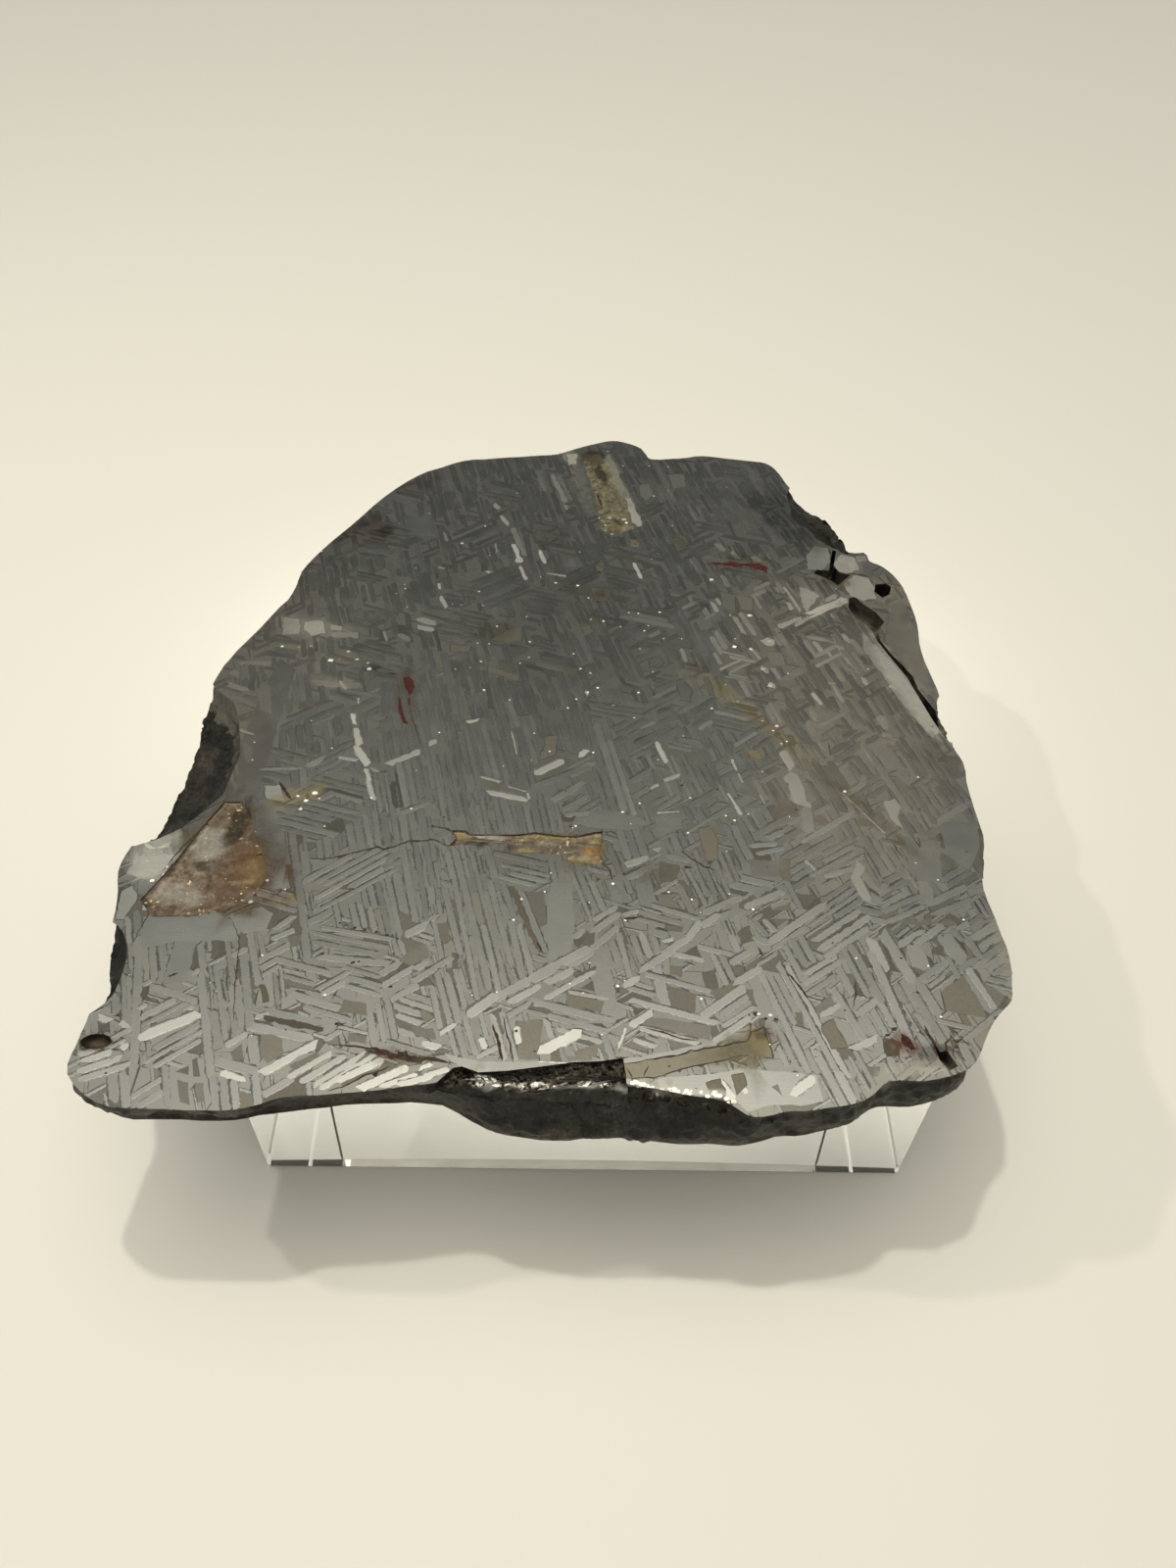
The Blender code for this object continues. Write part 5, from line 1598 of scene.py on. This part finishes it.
def add_tint(mesh, top):
    """Write the stains' colour and strength on the vertices of the face and its hollows."""
    count = len(mesh.vertices)
    places = np.empty(count * 3)
    mesh.vertices.foreach_get("co", places)
    places = places.reshape(count, 3) / MM
    colour = np.zeros((count, 3))
    strength = np.zeros(count)
    for number, (centre, reach, turn, stain, share) in enumerate(STAINS + lip_highlights()):
        distance = np.hypot(places[:, 0] - centre[0], places[:, 1] - centre[1])
        depth = LIGHT_STAIN_DEPTH if max(stain) > LIGHT_STAIN else STAIN_DEPTH
        near = (distance < STAIN_MARGIN * max(reach)) & (places[:, 2] > top / MM - depth)
        picked = np.flatnonzero(near)
        offset = places[picked, :2] - centre
        cosine, sine = math.cos(math.radians(turn)), math.sin(math.radians(turn))
        along = (offset[:, 0] * cosine + offset[:, 1] * sine) / reach[0]
        across = (offset[:, 1] * cosine - offset[:, 0] * sine) / reach[1]
        ragged = np.array([
            noise.noise((places[i, 0] * STAIN_RATE, places[i, 1] * STAIN_RATE, number * STAIN_ROW))
            for i in picked])
        cover = STAIN_EDGE - np.hypot(along, across) + STAIN_RAGGED * ragged
        weight = np.clip(cover / STAIN_SOFT, 0, 1) * share
        colour[picked] += (np.array(stain) - colour[picked]) * weight[:, None]
        fresh = strength[picked] < UNSTAINED
        colour[picked[fresh]] = stain
        strength[picked] = 1 - (1 - strength[picked]) * (1 - weight)
    layer = mesh.attributes.new("tint", "FLOAT_COLOR", "POINT")
    layer.data.foreach_set("color", np.column_stack((colour, strength)).ravel())


def vertices_linked_to(rings):
    """All vertices of the hollows that these rings bound."""
    found = set()
    waiting = [vertex for ring in rings for vertex in ring]
    while waiting:
        vertex = waiting.pop()
        if vertex in found:
            continue
        found.add(vertex)
        waiting.extend(edge.other_vert(vertex) for edge in vertex.link_edges)
    return found


def roughen_rim(shell, top, bottom, pocket_verts):
    """Fine lumps and pits on the natural rim, which leave the face and the back flat."""
    shell.normal_update()
    moves = {}
    for vertex in shell.verts:
        below = top - vertex.co.z
        above = vertex.co.z - bottom
        if below < STILL or above < STILL:
            continue
        coarse = noise.noise(vertex.co / COARSE_LUMPS)
        fine = noise.noise(vertex.co / FINE_LUMPS + FINE_SHIFT)
        if vertex in pocket_verts:
            depth = POCKET_DEPTH * (fine + 0.5 * coarse)
            ease = min(1.0, below / POCKET_FADE)
        else:
            sharp = 1 - 2 * abs(noise.noise(vertex.co / SHARP_LUMPS + SHARP_SHIFT))
            lumps = COARSE_SHARE * coarse + FINE_SHARE * fine + SHARP_SHARE * sharp
            depth = CRUST_DEPTH * (lumps - SUNK)
            ease = min(1.0, below / FACE_FADE) * min(1.0, above / BACK_FADE)
        moves[vertex] = vertex.normal * depth * ease
    for vertex, move in moves.items():
        vertex.co += move
        vertex.co.z = min(vertex.co.z, top - BELOW_FACE)


def strip_place(patch, corner):
    """Where a corner lies in its band: along it, across it, and the band's half width."""
    dx = corner.x / MM - patch.middle[0]
    dy = corner.y / MM - patch.middle[1]
    along = dx * patch.axis[0] + dy * patch.axis[1]
    across = dy * patch.axis[0] - dx * patch.axis[1]
    return (along, across, patch.half_width)


def plain_fields(triangles, owners):
    """Shade and warmth for what the bands leave between them: thin seams are dark, and each
    wider patch has one shade, mostly near the metal's own."""
    parent = {}

    def root(item):
        while parent[item] != item:
            item = parent[item]
        return item

    side_owner = {}
    for number, (keys, owner) in enumerate(zip(triangles, owners)):
        if owner >= 0 or breadth(keys) < SEAM:
            continue
        parent[number] = number
        for side in sides_of(keys):
            if side in side_owner:
                first, second = root(side_owner[side]), root(number)
                parent[max(first, second)] = min(first, second)
            side_owner[side] = number
    rng = random.Random(FIELD_SEED)
    looks = {}
    values = {}
    for number in sorted(parent):
        first = root(number)
        if first not in looks:
            looks[first] = field_look(rng, triangles[first][0])
        values[number] = looks[first]
    return values


def seam_look(y):
    """Shade and warmth of the thin seams: they fade towards the back."""
    shade, warmth = SEAM_LOOK
    return shade + (BACK_SEAM - shade) * progress(y, *SEAM_SPAN), warmth


def breadth(keys):
    """How wide a triangle is across its longest side."""
    sides = [math.dist(a, b) for a, b in zip(keys, keys[1:] + keys[:1])]
    (ax, ay), (bx, by), (cx, cy) = keys
    area = abs((bx - ax) * (cy - ay) - (cx - ax) * (by - ay)) / 2
    return 2 * area / max(sides)


def field_look(rng, point):
    """The shade and warmth of one patch: dark intergrowth is common only near the front, and along
    the front edge the patches are painted lighter with the bands' highlight.
    """
    zone = zone_at(point)
    front_sheen = painted_front_sheen(point[1], STEEP)
    if rng.random() < zone.dark * DARK_CHANCE:
        return rng.uniform(*DARK_SHADES) + DARK_SHEEN * front_sheen, rng.uniform(*DARK_WARMTHS)
    return zone.tone - rng.uniform(*PLAIN_DROPS) + front_sheen, rng.uniform(*PLAIN_WARMTHS)


# Materials

def new_material(name):
    """A material with only its shader, and the tree that its nodes are added to."""
    material = bpy.data.materials.new(name)
    material.use_nodes = True
    return material, material.node_tree


def set_shader(material, **values):
    """Give the shader's sockets values or other sockets; a space in their names is written _."""
    shader = material.node_tree.nodes["Principled BSDF"]
    for name, value in values.items():
        fill(material.node_tree, shader.inputs[name.replace("_", " ")], value)
    return material


def fill(tree, socket, value):
    """Give a socket its value, or link it to another socket."""
    if isinstance(value, bpy.types.NodeSocket):
        tree.links.new(value, socket)
    else:
        socket.default_value = value


def add_node(tree, kind, settings=None, **inputs):
    """A node with its settings and inputs, which are named, or numbered as i0, i1 and so on."""
    node = tree.nodes.new(kind)
    for name, value in (settings or {}).items():
        setattr(node, name, value)
    for name, value in inputs.items():
        fill(tree, node.inputs[int(name[1:]) if name[1:].isdigit() else name], value)
    return node


def math_node(tree, operation, *values, clamp=False):
    """The result of one arithmetic step."""
    inputs = {f"i{number}": value for number, value in enumerate(values)}
    settings = {"operation": operation, "use_clamp": clamp}
    return add_node(tree, "ShaderNodeMath", settings, **inputs).outputs[0]


def scaled(tree, value, factor, added, clamp=False):
    """A value times a factor, plus another value."""
    return math_node(tree, "MULTIPLY_ADD", value, factor, added, clamp=clamp)


def vector_node(tree, operation, *values, **others):
    """The result of one step with vectors."""
    inputs = {f"i{number}": value for number, value in enumerate(values)}
    settings = {"operation": operation}
    return add_node(tree, "ShaderNodeVectorMath", settings, **inputs, **others).outputs[0]


def parts(tree, vector):
    """A vector's three parts."""
    return add_node(tree, "ShaderNodeSeparateXYZ", i0=vector).outputs


def noise_value(tree, scale, detail=3.0, roughness=0.55, vector=None):
    """Noise between 0 and 1 over the object's own millimetres."""
    node = add_node(tree, "ShaderNodeTexNoise", i2=scale, i3=detail, i4=roughness)
    tree.links.new(vector or object_millimetres(tree), node.inputs[0])
    return node.outputs[0]


def object_millimetres(tree):
    """The place on the object in millimetres."""
    for node in tree.nodes:
        if node.label == "millimetres":
            return node.outputs[0]
    place = add_node(tree, "ShaderNodeTexCoord").outputs["Object"]
    result = vector_node(tree, "SCALE", place, Scale=1 / MM)
    result.node.label = "millimetres"
    return result


def attribute(tree, name, output="Fac"):
    """A value stored on the mesh."""
    return add_node(tree, "ShaderNodeAttribute", {"attribute_name": name}).outputs[output]


def ramp(tree, value, *stops):
    """A colour ramp over a value: each stop is its place and its colour."""
    node = add_node(tree, "ShaderNodeValToRGB", Fac=value)
    elements = node.color_ramp.elements
    while len(elements) < len(stops):
        elements.new(0.5)
    for element, (place, colour) in zip(elements, stops):
        element.position = place
        element.color = (*colour, 1.0)
    return node.outputs[0]


def mixed(tree, share, first, second):
    """Two colours mixed by a share."""
    first, second = ((*colour, 1.0) if isinstance(colour, tuple) else colour
                     for colour in (first, second))
    node = add_node(tree, "ShaderNodeMix", {"data_type": "RGBA"}, i0=share, i6=first, i7=second)
    return node.outputs[2]


def bumped(tree, strength, distance, height):
    """A normal that follows a height."""
    node = add_node(tree, "ShaderNodeBump", i0=strength, Distance=distance, Height=height)
    return node.outputs[0]


def leaning(tree, offset, normal=None):
    """A normal, the surface's own unless another is given, that leans by the offset."""
    normal = normal or add_node(tree, "ShaderNodeNewGeometry").outputs["Normal"]
    return vector_node(tree, "NORMALIZE", vector_node(tree, "ADD", normal, offset))


def facets(tree, scale, strength):
    """A surface broken into small flat grains: a chance value for each, and its tilted normal."""
    cells = add_node(tree, "ShaderNodeTexVoronoi", Scale=scale, i0=object_millimetres(tree))
    spread = vector_node(tree, "SUBTRACT", cells.outputs["Color"], (0.5, 0.5, 0.5))
    spread = vector_node(tree, "SCALE", spread, Scale=strength)
    return parts(tree, cells.outputs["Color"])[0], leaning(tree, spread)


def stained(tree, colour):
    """The colour with the stains over it, thinner and thicker from place to place."""
    tint = add_node(tree, "ShaderNodeAttribute", {"attribute_name": "tint"})
    ragged = noise_value(tree, 0.8, 4.0, 0.7)
    share = scaled(tree, ragged, 1.4, 0.25)
    share = math_node(tree, "MULTIPLY", share, tint.outputs["Alpha"], clamp=True)
    return mixed(tree, share, colour, tint.outputs["Color"])


# How much clouds, grain and fine lines change a band's tone, and its dark border
CLOUDS, GRAIN, LINES = 0.16, 0.04, 0.22
BORDER_COLOUR = (0.09, 0.088, 0.082)
BORDER_STRENGTH = 0.6


def etched_metal():
    """Satin bands of etched iron: one tone each, a thin dark border and faint fine lines."""
    material, tree = new_material("etched_iron")
    _, across, half = parts(tree, attribute(tree, "strip", "Vector"))
    in_band = math_node(tree, "GREATER_THAN", half, 0.05)
    ragged = scaled(tree, noise_value(tree, 1.4, 3.0, 0.65), 0.9, -0.45)
    to_edge = math_node(tree, "SUBTRACT", half, math_node(tree, "ABSOLUTE", across))
    to_edge = math_node(tree, "ADD", to_edge, ragged)
    shaded_side = math_node(tree, "GREATER_THAN", across, 0.0)
    line_width = scaled(tree, noise_value(tree, 0.9, 2.0), 0.9, -0.28)
    line_width = scaled(tree, shaded_side, 0.12, line_width)
    border = math_node(tree, "MULTIPLY", math_node(tree, "LESS_THAN", to_edge, line_width), in_band)
    sharp = sharpness(tree)
    cloudy = noise_value(tree, 0.12, 4.0)
    lines = fine_lines(tree)
    value = scaled(tree, cloudy, CLOUDS, attribute(tree, "tone"))
    value = scaled(tree, noise_value(tree, 2.2, 3.0), GRAIN, value)
    value = scaled(tree, lines, LINES, value)
    value = math_node(tree, "SUBTRACT", value, (CLOUDS + GRAIN + LINES) / 2)
    colour = ramp(tree, value, (0.0, (0.03, 0.03, 0.028)), (0.4, (0.27, 0.272, 0.262)),
                  (0.6, (0.36, 0.363, 0.35)), (1.0, (0.54, 0.54, 0.52)))
    border = math_node(tree, "MULTIPLY", border, sharp)
    border = math_node(tree, "MULTIPLY", border, BORDER_STRENGTH)
    colour = stained(tree, mixed(tree, border, colour, BORDER_COLOUR))
    shoulder = math_node(tree, "MINIMUM", to_edge, 0.4)
    height = math_node(tree, "MULTIPLY", shoulder, math_node(tree, "MULTIPLY", in_band, sharp))
    height = scaled(tree, lines, 0.12, height)
    normal = bumped(tree, 0.5, 0.12 * MM, height)
    return set_shader(material, Base_Color=colour, Metallic=0.97,
                      Roughness=scaled(tree, cloudy, 0.12, 0.2),
                      Normal=leaning(tree, attribute(tree, "tilt", "Vector"), normal))


def sharpness(tree):
    """How clear the borders are: they fade towards the back."""
    away = parts(tree, object_millimetres(tree))[1]
    sharp = scaled(tree, away, -0.006, 0.4)
    return math_node(tree, "MINIMUM", math_node(tree, "MAXIMUM", sharp, 0.18), 1.0)


def fine_lines(tree):
    """Faint lines that run along each band, different in each."""
    stretched = vector_node(tree, "MULTIPLY", attribute(tree, "strip", "Vector"), (0.1, 2.4, 9.0))
    shifted = vector_node(tree, "ADD", stretched, attribute(tree, "tilt", "Vector"))
    return noise_value(tree, 1.0, 3.0, 0.6, shifted)


def plessite():
    """The dark fine intergrowth between the bands, a little brown or olive in places."""
    material, tree = new_material("plessite")
    mottle = noise_value(tree, 1.6, 4.0, 0.7)
    value = scaled(tree, mottle, 0.2, -0.1)
    value = math_node(tree, "ADD", attribute(tree, "tone"), value)
    cool = ramp(tree, value, (0.0, (0.025, 0.025, 0.023)), (0.3, (0.13, 0.13, 0.12)),
                (0.6, (0.36, 0.363, 0.35)))
    warm = ramp(tree, value, (0.0, (0.025, 0.021, 0.015)), (0.3, (0.14, 0.122, 0.088)),
                (0.6, (0.35, 0.325, 0.26)))
    colour = stained(tree, mixed(tree, attribute(tree, "warmth"), cool, warm))
    return set_shader(material, Base_Color=colour, Metallic=0.9, Roughness=0.34,
                      Normal=bumped(tree, 0.3, 0.06 * MM, mottle))


def golden_sulphide():
    """Golden troilite: smooth olive-brown with darker clouds."""
    material, tree = new_material("golden_sulphide")
    chance, normal = facets(tree, 1.6, 0.12)
    value = scaled(tree, chance, 0.1, noise_value(tree, 0.35, 5.0, 0.65))
    colour = ramp(tree, value, (0.36, (0.1, 0.078, 0.045)), (0.52, (0.3, 0.265, 0.165)),
                  (0.66, (0.46, 0.42, 0.29)), (0.8, (0.62, 0.57, 0.42)))
    return set_shader(material, Base_Color=stained(tree, colour), Metallic=0.8, Roughness=0.35,
                      Normal=normal)


def red_oxide():
    """Deep red oxide in small spots."""
    material, tree = new_material("red_oxide")
    colour = ramp(tree, noise_value(tree, 0.8, 5.0, 0.8), (0.38, (0.02, 0.014, 0.011)),
                  (0.48, (0.05, 0.012, 0.009)), (0.62, (0.1, 0.02, 0.013)))
    return set_shader(material, Base_Color=colour, Specular_IOR_Level=0.25, Roughness=0.6)


def bright_grain():
    """Small grains of bright metal."""
    material, tree = new_material("bright_grain")
    colour = ramp(tree, attribute(tree, "tone"), (0.0, (0.2, 0.2, 0.19)), (1.0, (0.75, 0.73, 0.68)))
    return set_shader(material, Base_Color=colour, Metallic=1.0, Roughness=0.22,
                      Normal=leaning(tree, attribute(tree, "tilt", "Vector")))


def fresh_fracture():
    """The broken ledge: nearly black, partly as painted shade under the face's edge, with painted
    glitter of bare metal where its stains are light.
    """
    material, tree = new_material("fresh_fracture")
    chance, normal = facets(tree, 1.2, 0.45)
    value = scaled(tree, chance, 0.16, noise_value(tree, 0.3, 5.0, 0.75))
    dark = ramp(tree, value, (0.5, (0.01, 0.009, 0.007)), (0.68, (0.045, 0.037, 0.026)),
                (0.84, (0.15, 0.125, 0.085)))
    # Painted glitter: near-white specks of bare metal where the stains are light
    bare = ramp(tree, chance, (0.2, (0.05, 0.048, 0.04)), (0.5, (0.35, 0.34, 0.3)),
                (0.75, (0.95, 0.93, 0.86)))
    tint = add_node(tree, "ShaderNodeAttribute", {"attribute_name": "tint"})
    light = parts(tree, tint.outputs["Color"])[0]
    share = scaled(tree, light, 6.0, -1.8, clamp=True)
    share = math_node(tree, "MULTIPLY", share, tint.outputs["Alpha"])
    return set_shader(material, Base_Color=mixed(tree, share, dark, bare), Metallic=0.75,
                      Roughness=0.25, Normal=normal)


def rusty_patch():
    """Brown weathered mineral with paler and darker blots, and golden grains with painted glints.
    """
    material, tree = new_material("rusty_mineral")
    colour = ramp(tree, noise_value(tree, 0.3, 6.0, 0.75), (0.3, (0.05, 0.036, 0.024)),
                  (0.46, (0.14, 0.1, 0.066)), (0.58, (0.24, 0.19, 0.135)),
                  (0.72, (0.4, 0.34, 0.26)))
    colour = stained(tree, colour)
    dark = noise_value(tree, 1.1, 4.0, 0.7)
    dark = scaled(tree, dark, -7.0, 3.0, clamp=True)
    colour = mixed(tree, math_node(tree, "MULTIPLY", dark, 0.35), colour, (0.04, 0.027, 0.018))
    chance, normal = facets(tree, 1.3, 0.14)
    # Painted glints: a few grains painted near-white gold where they crowd
    crowded = scaled(tree, noise_value(tree, 0.16, 2.0), 6.0, -3.2, clamp=True)
    bright = math_node(tree, "MULTIPLY", math_node(tree, "GREATER_THAN", chance, 0.9), crowded)
    return set_shader(material, Base_Color=mixed(tree, bright, colour, (0.95, 0.8, 0.5)),
                      Metallic=0.35, Roughness=0.32, Normal=normal)


def dark_crust():
    """The natural rim: dark crust, painted nearly black just under the face for the shade there and
    browner further down, with glints on ridges.
    """
    material, tree = new_material("dark_crust")
    broad = noise_value(tree, 0.09, 6.0, 0.7)
    fine = noise_value(tree, 0.9, 6.0, 0.75)
    value = scaled(tree, fine, 0.5, math_node(tree, "MULTIPLY", broad, 0.5))
    dark = ramp(tree, value, (0.38, (0.005, 0.005, 0.004)), (0.5, (0.016, 0.015, 0.012)),
                (0.6, (0.045, 0.042, 0.034)), (0.7, (0.2, 0.19, 0.165)))
    brown = ramp(tree, value, (0.36, (0.018, 0.014, 0.01)), (0.5, (0.055, 0.046, 0.034)),
                 (0.6, (0.1, 0.083, 0.06)), (0.7, (0.2, 0.165, 0.12)))
    # Painted shade: the rim is darkest just under the face and browner further down
    height = parts(tree, object_millimetres(tree))[2]
    out_of_painted_shade = scaled(tree, height, -0.12, 8.9)
    out_of_painted_shade = scaled(tree, broad, 1.6, out_of_painted_shade)
    out_of_painted_shade = math_node(tree, "SUBTRACT", out_of_painted_shade, 0.8, clamp=True)
    return set_shader(material, Base_Color=stained(tree, mixed(tree, out_of_painted_shade, dark, brown)),
                      Metallic=0.45, Roughness=0.42, Normal=bumped(tree, 0.9, 0.9 * MM, value))


def sawn_back():
    """The flat back, sawn and left dull, with the saw's fine parallel lines."""
    material, tree = new_material("sawn_iron")
    wave = add_node(tree, "ShaderNodeTexWave", {"wave_type": "BANDS", "bands_direction": "Y"},
                    Scale=0.22, Distortion=1.2, Detail=3.0, i0=object_millimetres(tree)).outputs[1]
    value = scaled(tree, wave, 0.18, noise_value(tree, 0.05, 5.0, 0.6))
    colour = ramp(tree, value, (0.3, (0.42, 0.415, 0.4)), (0.9, (0.66, 0.655, 0.635)))
    return set_shader(material, Base_Color=colour, Metallic=0.85, Roughness=0.3,
                      Normal=bumped(tree, 0.5, 0.12 * MM, wave))


def crack_filling():
    """What fills a crack: nearly black, with a little rust."""
    material, tree = new_material("dark_crack")
    colour = ramp(tree, noise_value(tree, 0.9, 3.0), (0.35, (0.01, 0.008, 0.006)),
                  (0.7, (0.08, 0.045, 0.03)))
    return set_shader(material, Base_Color=colour, Roughness=0.7)


def clear_acrylic():
    """Clear cast acrylic."""
    material, _ = new_material("clear_acrylic")
    return set_shader(material, Base_Color=(0.97, 0.985, 0.985, 1), Roughness=0.02,
                      Transmission_Weight=1.0, IOR=1.49)


def pale_floor():
    """A plain creamy floor."""
    material, _ = new_material("pale_floor")
    return set_shader(material, Base_Color=(0.82, 0.8, 0.75, 1), Roughness=0.5)


# Camera, floor and light

def set_camera():
    """The photograph's own viewpoint."""
    data = bpy.data.cameras.new("view")
    data.sensor_width = SENSOR
    data.lens = SENSOR * FOCAL_LENGTH_PX / PHOTO_HEIGHT_PX
    camera = bpy.data.objects.new("view", data)
    camera.matrix_world = (
        Matrix.Translation(CAMERA_PLACE)
        @ Matrix.Rotation(-CAMERA_HEADING, 4, "Z")
        @ Matrix.Rotation(math.pi / 2 - CAMERA_DIP, 4, "X")
        @ Matrix.Rotation(CAMERA_ROLL, 4, "Z")
    )
    bpy.context.collection.objects.link(camera)
    bpy.context.scene.camera = camera


def lay_floor():
    """A wide pale floor under the block."""
    mesh = bpy.data.meshes.new("floor")
    corners = [(x * FLOOR_REACH, y * FLOOR_REACH, -FLOOR_GAP)
               for x, y in ((-1, -1), (1, -1), (1, 1), (-1, 1))]
    mesh.from_pydata(corners, [], [(0, 1, 2, 3)])
    floor = bpy.data.objects.new("floor", mesh)
    floor.data.materials.append(pale_floor())
    bpy.context.collection.objects.link(floor)


def add_lamp(name, place, target, size, power):
    """A soft rectangular lamp that faces a point."""
    data = bpy.data.lights.new(name, "AREA")
    data.shape = "RECTANGLE"
    data.size, data.size_y = size
    data.energy = power
    data.color = LAMP_COLOUR
    lamp = bpy.data.objects.new(name, data)
    direction = Vector(target) - Vector(place)
    lamp.matrix_world = (Matrix.Translation(place)
                         @ direction.to_track_quat("-Z", "Y").to_matrix().to_4x4())
    lamp.visible_glossy = False
    lamp.visible_transmission = False
    lamp.visible_camera = False
    bpy.context.collection.objects.link(lamp)


def set_light():
    """A room that is bright overhead and dim towards the horizon, with two small lamps, and a
    fainter one under the slice that stands for the light gathered behind the block."""
    world = bpy.data.worlds.new("room")
    world.use_nodes = True
    tree = world.node_tree
    height = parts(tree, add_node(tree, "ShaderNodeTexCoord").outputs["Generated"])[2]
    glow = ramp(tree, height, (0.0, (0.8, 0.78, 0.72)), (0.2, (0.55, 0.54, 0.5)),
                (0.34, (0.12, 0.122, 0.116)), (0.6, (0.086, 0.09, 0.085)),
                (0.72, (0.19, 0.193, 0.178)), (0.82, (0.62, 0.605, 0.53)),
                (0.9, (1.5, 1.44, 1.24)), (1.0, (2.5, 2.36, 1.98)))
    tree.links.new(glow, tree.nodes["Background"].inputs[0])
    tree.nodes["Background"].inputs[1].default_value = 1.0
    bpy.context.scene.world = world
    target = Vector(LAMP_TARGET)
    for name, way, power in LAMPS:
        place = target + Vector(way).normalized() * LAMP_DISTANCE
        add_lamp(name, place, target, (LAMP_SIZE, LAMP_SIZE), power)
    place = Vector(UNDER_LAMP_PLACE)
    below = place - Vector((0, 0, 1))
    add_lamp("lamp_under_slice", place, below, UNDER_LAMP_SIZE, UNDER_LAMP_POWER)


set_camera()
lay_floor()
set_light()
slice_piece = build_slice()
for make in (etched_metal, plessite, golden_sulphide, rusty_patch, dark_crust, sawn_back,
             crack_filling, red_oxide, bright_grain, fresh_fracture):
    slice_piece.data.materials.append(make())
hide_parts("meteorite_slice")
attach(slice_piece, "root")
block = bpy.data.objects["acrylic_block"]
for slot in block.material_slots:
    slot.material = clear_acrylic()
bpy.context.scene.view_settings.view_transform = "Standard"
